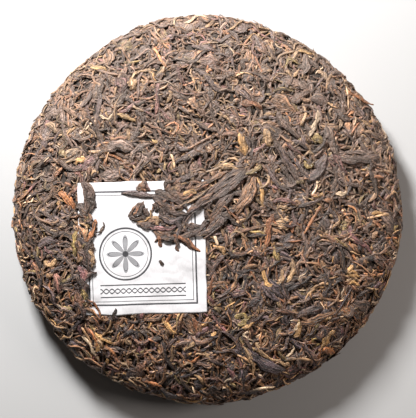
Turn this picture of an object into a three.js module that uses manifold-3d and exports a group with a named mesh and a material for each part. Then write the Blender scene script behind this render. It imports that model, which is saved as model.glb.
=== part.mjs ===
// A pressed pu erh tea cake: a disc of steamed leaf, domed on its face, with the round hollow that the
// knotted cloth leaves in its underside, and a square paper ticket pressed in among the leaves. The cake
// lies on its underside, face up. Millimetres, +Z up; the origin is the middle of the circle it rests on.
// The leaves that show most are fused to the disc at their true size; they lie over each other at random,
// and some lie over the ticket, clear of the paper.

import * as THREE from "three";
import { mergeVertices } from "three/addons/utils/BufferGeometryUtils.js";
import Module from "manifold-3d";

const wasm = await Module();
wasm.setup();

// The disc under the leaves.
const CORE_RADIUS = 99;
const RIM_HEIGHT = 10.5; // of the widest line above the table
const CROWN_HEIGHT = 24.6;
const SHOULDER_POWER = 4.6; // how late the dome turns down; 2 is a plain ellipse
const UNDERSIDE_HEIGHT = 1.4; // the leaves that stand prouder than this are pressed flat, and the cake rests on them
const LAND_RADIUS = 74; // out to here the underside is flat
const HOLLOW_RADIUS = 28;
const HOLLOW_DEPTH = 11;
const DISC_SEGMENTS = 50;
const ROW_LENGTH = 36; // a row of the disc's net for each of these lengths of outline,
const ROW_TURN = 0.5; // and for each of these angles that it turns through
const LUMP_HEIGHT = 0.45;
const LUMP_LENGTH = 19;

// The paper ticket.
const TICKET_WIDTH = 64;
const TICKET_HEIGHT = 67;
const TICKET_THICKNESS = 0.35;
const TICKET_CENTRE = new THREE.Vector2(-33, -19.5);
const TICKET_TURN = THREE.MathUtils.degToRad(1.5);
const TICKET_CELLS = 7;
const TICKET_WAVE = 0.25;
const CLEARANCE = 0.35; // between the paper and any leaf, above or below it

// The scattered leaves: how many in each band of the outline, as shares of its length from the crown, and
// how far they ride above the disc.
const BANDS = [
  { leaves: 122, from: 0.02, to: 0.44, lift: [-0.2, 0.3] },
  { leaves: 32, from: 0.44, to: 0.57, lift: [0.1, 0.5] },
  { leaves: 32, from: 0.6, to: 0.98, lift: [-0.2, 0.5] },
];

// The range of each size of a scattered leaf.
const LEAF_LENGTH = [15, 38];
const LEAF_WIDTH = [3.4, 7];
const LEAF_THICKNESS = [2, 3.2];
const LEAF_BEND = [-0.04, 0.04]; // radians of turn for each millimetre of length
const LEAF_TWIST = [-0.9, 0.9]; // radians from end to end
const LEAF_SIDES = 4;
const LEAF_STEP = 9; // length between two rings of a leaf
const BUNDLE_SIDES = 5;
const PLACED_STEP = 8;
const PLACED_TWIST = 0.9;
const CLEARING_TRIES = 6;
const SEED = 20;

const BUNDLE_LIFT = 1.5; // how far the bundle that crosses the ticket rides above the disc

// Leaves placed one by one, by the middle of each on the face, its heading in degrees, and its sizes.
const BUNDLE = [
  { at: [14, 11.5], heading: 36, length: 58, width: 8, thickness: 3.4, bend: -0.006, lift: 1.1 },
  { at: [24, 14], heading: 31, length: 44, width: 5.5, thickness: 3, bend: 0.004, lift: 0.8 },
  { at: [-3, 1], heading: 40, length: 40, width: 6.5, thickness: 3.4, bend: 0.012, lift: BUNDLE_LIFT },
  { at: [-19, 6.5], heading: -5, length: 46, width: 4.4, thickness: 3, bend: -0.01, lift: BUNDLE_LIFT },
  { at: [-16, -3], heading: 14, length: 42, width: 7, thickness: 3.6, bend: 0.02, lift: BUNDLE_LIFT },
  { at: [-20, -13], heading: -27, length: 42, width: 4.4, thickness: 3, bend: 0.012, lift: BUNDLE_LIFT },
  { at: [-30, 0], heading: 28, length: 24, width: 7, thickness: 3, bend: -0.02, lift: BUNDLE_LIFT },
  { at: [-7, -12], heading: 26, length: 40, width: 4.6, thickness: 3, bend: 0.012, lift: BUNDLE_LIFT },
];
const TICKET_EDGE = [
  { at: [-62, 6], heading: 100, length: 24, width: 7.5, thickness: 2.8, bend: 0.03, lift: 1.2 },
  { at: [-63, -11], heading: 76, length: 34, width: 5.5, thickness: 2.8, bend: -0.01, lift: 1 },
  { at: [-62.5, -26], heading: 104, length: 34, width: 6.5, thickness: 2.8, bend: 0.02, lift: 1 },
  { at: [-63, -42], heading: 82, length: 30, width: 5.5, thickness: 2.6, bend: -0.02, lift: 0.9 },
  { at: [-59, -53], heading: 150, length: 26, width: 3.2, thickness: 2.4, bend: -0.05, lift: 0.8 },
];
const LONG_LEAVES = [
  { at: [80, 26], heading: 1, length: 34, width: 5.5, thickness: 2.6, bend: 0.004, lift: 0.5 },
  { at: [53.5, 44], heading: 72, length: 18, width: 3, thickness: 2.2, bend: -0.03, lift: 0.7 },
  { at: [39, 52], heading: 148, length: 20, width: 7, thickness: 2.2, bend: 0.02, lift: 0.6 },
  { at: [-18.5, 55], heading: 64, length: 36, width: 3.6, thickness: 2.4, bend: 0.002, lift: 0.7 },
  { at: [52, -53], heading: 16, length: 44, width: 5.5, thickness: 2.6, bend: 0.006, lift: 0.6 },
  { at: [34, -42], heading: 148, length: 22, width: 8.5, thickness: 2.4, bend: 0.01, lift: 0.5 },
  { at: [25, -74], heading: 157, length: 42, width: 5, thickness: 2.6, bend: -0.012, lift: 0.6 },
  { at: [-73, 5], heading: 127, length: 22, width: 5, thickness: 2.4, bend: 0.01, lift: 0.6 },
  { at: [-63.5, -63], heading: 118, length: 34, width: 2.8, thickness: 2.2, bend: 0.02, lift: 0.7 },
  { at: [-55, -65], heading: -24, length: 17, width: 3, thickness: 2.2, bend: 0, lift: 0.7 },
  { at: [48, 8], heading: 52, length: 36, width: 6, thickness: 2.6, bend: 0.008, lift: 0.5 },
  { at: [-40, 36], heading: 8, length: 26, width: 7, thickness: 2.4, bend: -0.02, lift: 0.5 },
];

// Numbers between 0 and 1, the same in every run.
function seededRandom(seed) {
  let state = seed;
  return () => {
    state = (state * 48271) % 2147483647;
    return state / 2147483647;
  };
}

const between = ([low, high], share) => low + (high - low) * share;
const UP = new THREE.Vector3(0, 0, 1);

// The outline of the disc from the crown, over the rim, to the middle of the hollow, as x = radius and
// y = height. The dome is a superellipse, the foot a quarter ellipse, and the hollow a squared cosine.
function discOutline(steps = 90) {
  const points = [];
  for (let i = 0; i <= steps; i++) {
    const angle = (i / steps) * (Math.PI / 2);
    points.push(
      new THREE.Vector2(
        CORE_RADIUS * Math.sin(angle) ** (2 / SHOULDER_POWER),
        RIM_HEIGHT + (CROWN_HEIGHT - RIM_HEIGHT) * Math.cos(angle),
      ),
    );
  }
  for (let i = 1; i <= steps; i++) {
    const angle = (i / steps) * (Math.PI / 2);
    points.push(
      new THREE.Vector2(
        LAND_RADIUS + (CORE_RADIUS - LAND_RADIUS) * Math.cos(angle),
        RIM_HEIGHT - (RIM_HEIGHT - UNDERSIDE_HEIGHT) * Math.sin(angle),
      ),
    );
  }
  for (let i = 1; i <= steps; i++) {
    const radius = LAND_RADIUS * (1 - i / steps);
    const inside = Math.min(radius / HOLLOW_RADIUS, 1);
    const rise = HOLLOW_DEPTH * Math.cos((inside * Math.PI) / 2) ** 2;
    points.push(new THREE.Vector2(radius, UNDERSIDE_HEIGHT + rise));
  }
  return points;
}

const OUTLINE = discOutline();
const ALONG = OUTLINE.map(() => 0);
for (let i = 1; i < OUTLINE.length; i++) {
  ALONG[i] = ALONG[i - 1] + OUTLINE[i].distanceTo(OUTLINE[i - 1]);
}

// The outline's point and outward normal at a place on one of its segments.
function outlineSpot(index, share) {
  const [a, b] = [OUTLINE[index], OUTLINE[index + 1]];
  const run = b.clone().sub(a).normalize();
  return {
    point: a.clone().lerp(b, share),
    normal: new THREE.Vector2(-run.y, run.x),
  };
}

// The outline at a share of its whole length.
function outlineAt(share) {
  const wanted = THREE.MathUtils.clamp(share, 0, 1) * ALONG.at(-1);
  let index = ALONG.findIndex((length) => length >= wanted) - 1;
  index = Math.max(index, 0);
  return outlineSpot(
    index,
    (wanted - ALONG[index]) / (ALONG[index + 1] - ALONG[index]),
  );
}

// The outline's spot nearest to a radius and height.
function outlineNear(radius, height) {
  const wanted = new THREE.Vector2(radius, height);
  let best = { distance: Infinity };
  for (let i = 0; i < OUTLINE.length - 1; i++) {
    const run = OUTLINE[i + 1].clone().sub(OUTLINE[i]);
    const share = THREE.MathUtils.clamp(
      wanted.clone().sub(OUTLINE[i]).dot(run) / run.lengthSq(),
      0,
      1,
    );
    const distance = OUTLINE[i].clone().addScaledVector(run, share);
    const gap = distance.distanceTo(wanted);
    if (gap < best.distance) best = { distance: gap, index: i, share };
  }
  return outlineSpot(best.index, best.share);
}

// A spot of the outline turned about the axis by an angle.
function turned({ point, normal }, angle) {
  const [c, s] = [Math.cos(angle), Math.sin(angle)];
  return {
    point: new THREE.Vector3(point.x * c, point.x * s, point.y),
    normal: new THREE.Vector3(normal.x * c, normal.x * s, normal.y),
  };
}

// The disc's surface nearest to a point, with its normal.
function surfaceNear(p) {
  return turned(outlineNear(Math.hypot(p.x, p.y), p.z), Math.atan2(p.y, p.x));
}

// The height of the domed face over a place.
function faceHeight(x, y) {
  const out = Math.min(Math.hypot(x, y) / CORE_RADIUS, 1);
  return (
    RIM_HEIGHT +
    (CROWN_HEIGHT - RIM_HEIGHT) * Math.sqrt(1 - out ** SHOULDER_POWER)
  );
}

// A place in the ticket's own frame: x to its right, y to its top.
function onTicket(x, y) {
  return new THREE.Vector2(x, y)
    .sub(TICKET_CENTRE)
    .rotateAround(new THREE.Vector2(), -TICKET_TURN);
}

// How far a place lies outside the ticket's outline; below zero it is on the paper.
function outsideTicket(x, y) {
  const local = onTicket(x, y);
  return Math.max(
    Math.abs(local.x) - TICKET_WIDTH / 2,
    Math.abs(local.y) - TICKET_HEIGHT / 2,
  );
}

// A three.js geometry as one net of shared vertices, each moved to where a function says.
function reshaped(geometry, place) {
  const bare = geometry.clone();
  bare.deleteAttribute("normal");
  bare.deleteAttribute("uv");
  const net = mergeVertices(bare, 1e-5);
  const position = net.attributes.position;
  const vertex = new THREE.Vector3();
  for (let i = 0; i < position.count; i++) {
    const moved = place(vertex.fromBufferAttribute(position, i));
    position.setXYZ(i, moved.x, moved.y, moved.z);
  }
  return net;
}

// A closed net as a solid.
function solidOf(net) {
  return new wasm.Manifold(
    new wasm.Mesh({
      numProp: 3,
      vertProperties: net.attributes.position.array,
      triVerts: new Uint32Array(net.index.array),
    }),
  );
}

// A solid as a three.js geometry.
function geometryOf(solid) {
  const mesh = solid.getMesh();
  const geometry = new THREE.BufferGeometry();
  geometry.setAttribute(
    "position",
    new THREE.BufferAttribute(new Float32Array(mesh.vertProperties), 3),
  );
  geometry.setIndex(new THREE.BufferAttribute(mesh.triVerts, 1));
  geometry.computeVertexNormals();
  return geometry;
}

// Slow unevenness of the pressed disc, from -1 to 1: crossed waves that never line up.
function lumps(p) {
  const k = (2 * Math.PI) / LUMP_LENGTH;
  const one = Math.sin(k * (p.x + 0.6 * p.y) + 2 * Math.sin(k * 0.31 * p.y));
  const two = Math.sin(k * (0.83 * p.y - 0.45 * p.x) + p.z * 0.4);
  const three = Math.sin(k * 0.57 * (p.x - 1.3 * p.y) + 1.9);
  return (one + two + three) / 3;
}

// The outline's points for the rows of the disc's net, from the underside up, closest where the outline turns.
function discRows() {
  const rows = [OUTLINE[0]];
  let measure = 0;
  for (let i = 1; i < OUTLINE.length - 1; i++) {
    const before = OUTLINE[i].clone().sub(OUTLINE[i - 1]);
    const after = OUTLINE[i + 1].clone().sub(OUTLINE[i]);
    measure += before.length() / ROW_LENGTH + before.angleTo(after) / ROW_TURN;
    if (measure >= rows.length) rows.push(OUTLINE[i]);
  }
  return [...rows, OUTLINE.at(-1)].reverse();
}

// The disc under the leaves: its outline turned about the axis, a little uneven but for the place under
// the ticket.
function discSolid() {
  const lathe = new THREE.LatheGeometry(discRows(), DISC_SEGMENTS).rotateX(Math.PI / 2);
  const net = reshaped(lathe, (v) => {
    const { point, normal } = surfaceNear(v);
    const bare = THREE.MathUtils.smoothstep(outsideTicket(v.x, v.y), 3, 9);
    const high = LUMP_HEIGHT * (lumps(point) - 0.4) * (normal.z > 0.3 ? bare : 1);
    return point.addScaledVector(normal, normal.z < -0.9 ? 0.4 * high : high);
  });
  return solidOf(net);
}

// A leaf's middle line: it starts at a place on the disc and is walked both ways over the surface, turning
// as it goes, so that it lies on the dome and bends round the rim.
function leafPath({ middle, heading, length, bend, step }) {
  const half = Math.max(1, Math.round(length / step / 2));
  const stride = length / (2 * half);
  const walk = (way) => {
    const stops = [];
    let { point, normal } = surfaceNear(middle);
    const along = heading.clone().multiplyScalar(way);
    for (let i = 0; i <= half; i++) {
      along.addScaledVector(normal, -along.dot(normal)).normalize();
      stops.push({ point, normal, along: along.clone().multiplyScalar(way) });
      along.applyAxisAngle(normal, bend * stride * way);
      ({ point, normal } = surfaceNear(point.clone().addScaledVector(along, stride)));
    }
    return stops;
  };
  return [...walk(-1).reverse(), ...walk(1).slice(1)];
}

// A rolled leaf along its path: a flat tube, fullest near its start, with its two tips let into the disc.
function leafSolid(leaf) {
  const { sides, width, thickness, lift, twist } = leaf;
  const path = leafPath(leaf);
  const rings = path.length - 1;
  const tube = new THREE.SphereGeometry(1, sides, rings);
  const net = reshaped(tube, (v) => {
    const share = Math.acos(THREE.MathUtils.clamp(v.y, -1, 1)) / Math.PI;
    const { point, normal, along } = path[Math.round(share * rings)];
    const side = new THREE.Vector3().crossVectors(normal, along);
    const tip = Math.hypot(v.x, v.z) < 1e-4;
    const full = tip ? 0 : Math.sin(Math.PI * share ** 0.85) ** 0.45;
    const corner = Math.atan2(v.z, v.x) + Math.PI / sides + twist * (share - 0.5);
    const rise = lift - (lift + 0.35 * thickness) * (2 * share - 1) ** 6;
    return point
      .clone()
      .addScaledVector(side, Math.cos(corner) * full * (width / 2) * Math.SQRT2)
      .addScaledVector(normal, Math.sin(corner) * full * (thickness / 2) * Math.SQRT2 + rise);
  });
  return solidOf(net);
}

// True if a leaf would reach the ticket's paper.
function meetsTicket(leaf) {
  return leafPath(leaf).some(
    ({ point, normal }) =>
      normal.z > 0 && outsideTicket(point.x, point.y) < leaf.width / 2 + CLEARANCE,
  );
}

// A leaf turned and shortened until it lies clear of the ticket, or undefined if it can't.
function clearOfTicket(leaf) {
  for (let attempt = 0; attempt < CLEARING_TRIES; attempt++) {
    const { normal } = surfaceNear(leaf.middle);
    const moved = {
      ...leaf,
      heading: leaf.heading.clone().applyAxisAngle(normal, (attempt * Math.PI) / CLEARING_TRIES),
      length: leaf.length * (1 - (0.4 * attempt) / CLEARING_TRIES),
    };
    if (!meetsTicket(moved)) return moved;
  }
  return undefined;
}

// The leaves of a placed list, each with a number of sides.
function placedLeaves(list, sides) {
  return list.map(({ at: [x, y], heading, ...sizes }) => {
    const angle = THREE.MathUtils.degToRad(heading);
    return leafSolid({
      ...sizes,
      middle: new THREE.Vector3(x, y, faceHeight(x, y)),
      heading: new THREE.Vector3(Math.cos(angle), Math.sin(angle), 0),
      sides,
      step: PLACED_STEP,
      twist: PLACED_TWIST,
    });
  });
}

// Leaves spread evenly over a band of the outline, each with its own size and heading. Places follow the
// golden angle, evenly by area, and each is moved a little.
function scatteredLeaves({ leaves: count, from, to, lift }, random) {
  const golden = Math.PI * (3 - Math.sqrt(5));
  const leaves = [];
  const areas = [0];
  for (let i = 1; i <= 200; i++) {
    areas.push(areas[i - 1] + outlineAt(from + ((to - from) * i) / 200).point.x);
  }
  for (let i = 0; i < count; i++) {
    const wanted = ((i + 0.5) / count) * areas.at(-1);
    const place = areas.findIndex((area) => area >= wanted) / 200;
    const share = from + (to - from) * place + (random() - 0.5) * 0.02;
    const { point, normal } = turned(
      outlineAt(share),
      i * golden + (random() - 0.5) * 0.3,
    );
    const meridian = new THREE.Vector3(point.x, point.y, 0).applyAxisAngle(UP, Math.PI / 2);
    const heading = meridian.normalize().applyAxisAngle(normal, random() * Math.PI);
    const leaf = {
      middle: point,
      heading,
      sides: LEAF_SIDES,
      step: LEAF_STEP,
      length: between(LEAF_LENGTH, random() ** 1.4),
      width: between(LEAF_WIDTH, random()),
      thickness: between(LEAF_THICKNESS, random()),
      bend: between(LEAF_BEND, random()),
      lift: between(lift, random()),
      twist: between(LEAF_TWIST, random()),
    };
    const clear = clearOfTicket(leaf);
    if (clear) leaves.push(leafSolid(clear));
  }
  return leaves;
}

// The paper, following the dome with slow waves of its own. A grown copy, with the clearance on every side,
// is what the leaves have to stay out of.
function ticketGeometry(grow = 0) {
  const box = new THREE.BoxGeometry(
    TICKET_WIDTH + 2 * grow,
    TICKET_HEIGHT + 2 * grow,
    TICKET_THICKNESS + 2 * grow,
    TICKET_CELLS,
    TICKET_CELLS,
    1,
  );
  return reshaped(box, (v) => {
    const flat = new THREE.Vector2(v.x, v.y)
      .rotateAround(new THREE.Vector2(), TICKET_TURN)
      .add(TICKET_CENTRE);
    const wave = Math.sin(flat.x * 0.19) * Math.sin(flat.y * 0.16 + 1);
    const bottom = faceHeight(flat.x, flat.y) + CLEARANCE + TICKET_WAVE * (1 + wave);
    return new THREE.Vector3(flat.x, flat.y, bottom + TICKET_THICKNESS / 2 + v.z);
  });
}

// The largest body of a solid: fusing can leave loose scraps and sealed hollows.
function largestBody(solid) {
  const bodies = solid.decompose();
  return bodies.reduce((a, b) => (b.volume() > a.volume() ? b : a));
}

function cakeSolid() {
  const random = seededRandom(SEED);
  const leaves = [
    ...placedLeaves(BUNDLE, BUNDLE_SIDES),
    ...placedLeaves([...TICKET_EDGE, ...LONG_LEAVES], LEAF_SIDES),
    ...BANDS.flatMap((band) => scatteredLeaves(band, random)),
  ];
  const leafy = leaves.reduce((whole, leaf) => whole.add(leaf), discSolid());
  const reach = 4 * CORE_RADIUS;
  const block = new THREE.BoxGeometry(reach, reach, reach);
  const table = solidOf(reshaped(block, (v) => v.setZ(v.z - reach / 2)));
  return largestBody(leafy.subtract(solidOf(ticketGeometry(CLEARANCE))).subtract(table));
}

function makeCake() {
  const material = new THREE.MeshStandardMaterial({
    color: 0x4a3c32,
    roughness: 0.75,
    metalness: 0,
    flatShading: true,
  });
  const cake = new THREE.Mesh(geometryOf(cakeSolid()), material);
  cake.name = "cake";
  return cake;
}

function makeTicket() {
  const material = new THREE.MeshStandardMaterial({
    color: 0xf1eeee,
    roughness: 0.85,
    metalness: 0,
  });
  const ticket = new THREE.Mesh(geometryOf(solidOf(ticketGeometry())), material);
  ticket.name = "ticket";
  return ticket;
}

const teaCake = new THREE.Group();
teaCake.name = "tea_cake";
teaCake.add(makeCake(), makeTicket());

export default teaCake;
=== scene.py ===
"""The looks of a pressed pu erh tea cake: thousands of leaves laid over the disc, and the paper ticket.

The leaves are laid one after another on two flat charts of the disc, one for its face and one for its
underside. Each leaf rests on what lies under it, and then the whole mat is pressed level, as the real cake
is. Lengths are in metres.
"""

from __future__ import annotations

import logging
import math
from dataclasses import dataclass, field, replace
from enum import Enum
from typing import ClassVar

import bpy
import numpy as np
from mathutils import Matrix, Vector

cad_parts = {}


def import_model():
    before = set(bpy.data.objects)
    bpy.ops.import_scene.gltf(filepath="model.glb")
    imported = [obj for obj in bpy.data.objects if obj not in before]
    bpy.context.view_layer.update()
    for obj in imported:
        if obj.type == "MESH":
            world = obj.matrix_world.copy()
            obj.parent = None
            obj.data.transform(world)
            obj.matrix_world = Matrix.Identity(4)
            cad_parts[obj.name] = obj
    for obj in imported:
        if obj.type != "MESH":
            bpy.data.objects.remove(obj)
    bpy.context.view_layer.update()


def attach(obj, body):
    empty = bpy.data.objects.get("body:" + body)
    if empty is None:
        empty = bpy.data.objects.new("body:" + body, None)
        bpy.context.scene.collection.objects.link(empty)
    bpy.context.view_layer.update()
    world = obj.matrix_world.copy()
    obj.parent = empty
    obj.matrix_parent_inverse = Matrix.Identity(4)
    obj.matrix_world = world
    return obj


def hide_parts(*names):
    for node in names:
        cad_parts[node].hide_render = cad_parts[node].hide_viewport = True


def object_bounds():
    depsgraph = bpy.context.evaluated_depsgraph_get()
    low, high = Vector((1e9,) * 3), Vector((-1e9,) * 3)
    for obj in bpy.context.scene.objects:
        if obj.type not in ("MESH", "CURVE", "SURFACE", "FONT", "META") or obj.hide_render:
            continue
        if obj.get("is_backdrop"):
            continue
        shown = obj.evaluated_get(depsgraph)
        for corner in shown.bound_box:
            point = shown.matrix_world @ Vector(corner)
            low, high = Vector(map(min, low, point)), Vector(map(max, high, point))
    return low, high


Point = tuple[float, float]
Colour = tuple[float, float, float]

LOG = logging.getLogger("tea_cake")
MM = 0.001
TINT_LEVEL = 0.84  # how light all leaves are
TINY = 1e-9
GOLDEN_ANGLE = 3 - math.sqrt(5)  # in half turns


class Shade(Enum):
    """The colours of dry tea leaf and paper, as red, green and blue on a screen, from 0 to 255."""

    SOOT = (57, 39, 34)
    CHARCOAL = (85, 62, 55)
    SLATE = (100, 83, 85)
    ASH = (142, 115, 102)
    UMBER = (118, 79, 57)
    BROWN = (158, 112, 78)
    RUSSET = (168, 106, 68)
    MAUVE = (140, 91, 90)
    TAN = (194, 153, 111)
    OLIVE = (166, 137, 80)
    GOLD = (212, 160, 99)
    AMBER = (198, 123, 68)
    STRAW = (244, 209, 171)
    # HAZE is the grey of the painted sheen towards the top of the face, not a colour of the leaf.
    HAZE = (156, 134, 119)

    def linear(self) -> np.ndarray:
        """The colour as linear light, from 0 to 1."""
        screen = np.array(self.value) / 255
        return np.where(screen < 0.04045, screen / 12.92, ((screen + 0.055) / 1.055) ** 2.4)


def mix(**weights: float) -> dict[Shade, float]:
    """Shades by their names, each with how often it is picked."""
    return {Shade[name]: weight for name, weight in weights.items()}


def polar(out: np.ndarray, turn: np.ndarray) -> np.ndarray:
    """Points at distances from the middle and angles about it."""
    return np.stack([out * np.cos(turn), out * np.sin(turn)], -1)


@dataclass(frozen=True)
class CakeForm:
    """The disc under the leaves, a body of revolution.

    Its dome is a superellipse, its foot a quarter ellipse, and the hollow in its underside a squared cosine.
    Each of the rim's waves has how often it goes round, its size and its phase in degrees.
    """

    radius: float = 99 * MM
    rim_height: float = 10.5 * MM
    crown_height: float = 24.6 * MM
    shoulder_power: float = 4.6
    underside_height: float = 1.4 * MM
    land_radius: float = 74 * MM
    hollow_radius: float = 28 * MM
    hollow_depth: float = 11 * MM
    steps: int = 600
    waves: tuple[tuple[int, float, float], ...] = (
        (0, -0.4 * MM, 0),
        (1, 0.75 * MM, -139),
        (2, 0.25 * MM, 49),
        (3, 0.65 * MM, -31),
        (4, 0.3 * MM, 8),
    )
    waves_fade: int = 4

    def stray(self, turn: np.ndarray) -> np.ndarray:
        """How far the rim strays outward from a circle: cosines of whole multiples of the angle."""
        return sum(size * np.cos(times * turn - math.radians(phase)) for times, size, phase in self.waves)

    def outline(self) -> np.ndarray:
        """Points of the outline from the crown to the middle of the hollow.

        Returns:
            An (n, 2) array of radius and height.
        """
        share = np.linspace(0, 1, self.steps)
        late = (math.pi / 2) * share ** (self.shoulder_power / 2)
        dome_radius = self.radius * np.sin(late) ** (2 / self.shoulder_power)
        dome_height = self.rim_height + (self.crown_height - self.rim_height) * np.cos(late)
        turn = (math.pi / 2) * share[1:]
        foot_radius = self.land_radius + (self.radius - self.land_radius) * np.cos(turn)
        foot_height = self.rim_height - (self.rim_height - self.underside_height) * np.sin(turn)
        out = self.land_radius * (1 - share[1:])
        inside = np.minimum(out / self.hollow_radius, 1)
        level = self.underside_height + self.hollow_depth * np.cos(inside * math.pi / 2) ** 2
        radii = np.concatenate([dome_radius, foot_radius, out])
        return np.stack([radii, np.concatenate([dome_height, foot_height, level])], 1)


class Side(Enum):
    """The two sides of the cake, each with a chart of its own."""

    FACE = 1
    UNDERSIDE = -1

    @property
    def index(self) -> int:
        """The side's place in a kind's counts."""
        return int(self is Side.UNDERSIDE)


class Chart:
    """A flat map of the disc round the middle of one side.

    A place's distance from the chart's middle is its distance along the outline, and its direction is its
    angle about the axis, so lengths are nearly true out to the rim. Each set of lumps has its seed, its
    wavelength, its height and the power of the radius by which it fades inward.
    """

    LUMPS = ((2, 30 * MM, 0.4 * MM, 0), (4, 10 * MM, 0.45 * MM, 10))
    LUMP_WAVES = 14

    def __init__(self, form: CakeForm, side: Side) -> None:
        """Measures the outline from the middle of a side.

        Args:
            form: the disc.
            side: the side whose middle is the chart's middle.
        """
        self.form = form
        points = form.outline()[:: side.value]
        runs = np.diff(points, axis=0)
        self.along = np.concatenate([[0], np.cumsum(np.hypot(runs[:, 0], runs[:, 1]))])
        self.points = points
        slopes = np.gradient(points, self.along, axis=0)
        slopes /= np.linalg.norm(slopes, axis=1, keepdims=True)
        self.normals = np.stack([-slopes[:, 1], slopes[:, 0]], 1) * side.value
        self.lumps = [
            (Ripples(seed, wavelength, 3, self.LUMP_WAVES), size, fade)
            for seed, wavelength, size, fade in self.LUMPS
        ]
        widest = int(np.argmax(points[:, 0]))
        self.rim = float(self.along[widest])
        self.to_widest = (points[: widest + 1, 0], self.along[: widest + 1])

    def place(self, xy: np.ndarray, height: np.ndarray) -> np.ndarray:
        """Puts places of the chart, at heights over the disc's slow lumps, into space.

        Args:
            xy: (..., 2) places on the chart.
            height: (...) heights along the disc's normal.

        Returns:
            (..., 3) points.
        """
        out = np.hypot(xy[..., 0], xy[..., 1])
        turn = np.arctan2(xy[..., 1], xy[..., 0])
        radius = np.interp(out, self.along, self.points[:, 0])
        level = np.interp(out, self.along, self.points[:, 1])
        outward = np.interp(out, self.along, self.normals[:, 0])
        upward = np.interp(out, self.along, self.normals[:, 1])
        spot = np.stack([radius * np.cos(turn), radius * np.sin(turn), level], -1)
        outer = radius / self.form.radius
        radius = radius + self.form.stray(turn) * outer**self.form.waves_fade
        for lumps, size, fade in self.lumps:
            height = height + size * outer**fade * lumps(spot)
        reach = radius + outward * height
        return np.stack([reach * np.cos(turn), reach * np.sin(turn), level + upward * height], -1)

    def from_plan(self, xy: np.ndarray) -> np.ndarray:
        """The places on the chart of points seen straight from above.

        Args:
            xy: (..., 2) points in the plan.

        Returns:
            (..., 2) places on the chart.
        """
        radius = np.hypot(xy[..., 0], xy[..., 1])
        along = np.interp(radius, *self.to_widest)
        return xy * (along / np.maximum(radius, TINY))[..., None]


@dataclass
class Ripples:
    """Smooth unevenness: crossed sine waves whose directions, lengths and phases are drawn once."""

    seed: int
    wavelength: float
    dimensions: int = 2  # 2 on a chart, 3 in space
    waves: int = 10

    LENGTHS: ClassVar = (0.6, 1.6)  # the shortest and longest wave, as shares of the wavelength
    PEAK: ClassVar = 1.6

    def __post_init__(self) -> None:
        """Draws the waves."""
        rng = np.random.default_rng(self.seed)
        heading = rng.normal(size=(self.waves, self.dimensions))
        heading /= np.linalg.norm(heading, axis=1, keepdims=True)
        self.rates = 2 * math.pi * heading / (self.wavelength * rng.uniform(*self.LENGTHS, (self.waves, 1)))
        self.phases = rng.uniform(0, 2 * math.pi, self.waves)

    def __call__(self, points: np.ndarray) -> np.ndarray:
        """The unevenness at points, mostly between -1 and 1."""
        waves = np.sin(points @ self.rates.T + self.phases)
        return waves.sum(-1) * math.sqrt(2 / len(self.phases)) / self.PEAK


@dataclass(frozen=True)
class TicketForm:
    """The paper ticket's outline and the surface that it lies on.

    Its slow wave has rates in radians a millimetre. Its two sets of crumples, of which the finer ones are
    folds, each have a seed and a wavelength.
    """

    width: float = 64 * MM
    height: float = 67 * MM
    centre: tuple[float, float] = (-33 * MM, -19.5 * MM)
    turn: float = math.radians(1.5)
    clearance: float = 0.45 * MM
    wave: float = 0.25 * MM
    wave_rates: tuple[float, float] = (0.19, 0.16)
    thickness: float = 0.14 * MM
    crumple: float = 0.16 * MM
    crumples: tuple[Point, Point] = ((5, 15 * MM), (6, 9 * MM))
    fold_share: float = 0.7

    def local(self, xy: np.ndarray) -> np.ndarray:
        """Places in the ticket's own frame, x to its right and y to its top.

        Args:
            xy: places, two numbers in metres along the last axis.

        Returns:
            The places, measured from the ticket's middle.
        """
        c, s = math.cos(self.turn), math.sin(self.turn)
        moved = xy - np.array(self.centre)
        return moved @ np.array([[c, -s], [s, c]])

    def plan(self, local: np.ndarray) -> np.ndarray:
        """The way back from the ticket's own frame."""
        c, s = math.cos(self.turn), math.sin(self.turn)
        return local @ np.array([[c, s], [-s, c]]) + np.array(self.centre)

    def outside(self, xy: np.ndarray) -> np.ndarray:
        """How far places lie outside the paper's outline; below zero they are on it."""
        local = np.abs(self.local(xy))
        return np.maximum(local[..., 0] - self.width / 2, local[..., 1] - self.height / 2)

    def bottom(self, xy: np.ndarray) -> np.ndarray:
        """The height of the paper's underside over the disc: a slow wave and finer crumples.

        Args:
            xy: places, two numbers in metres along the last axis.

        Returns:
            The heights, in metres.
        """
        x, y = xy[..., 0] / MM, xy[..., 1] / MM
        wave = np.sin(x * self.wave_rates[0]) * np.sin(y * self.wave_rates[1] + 1)
        coarse, fine = (Ripples(seed, length)(xy) for seed, length in self.crumples)
        crumples = coarse + self.fold_share * np.abs(fine)
        return self.clearance + self.wave * (1 + wave) + self.crumple * crumples


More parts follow.
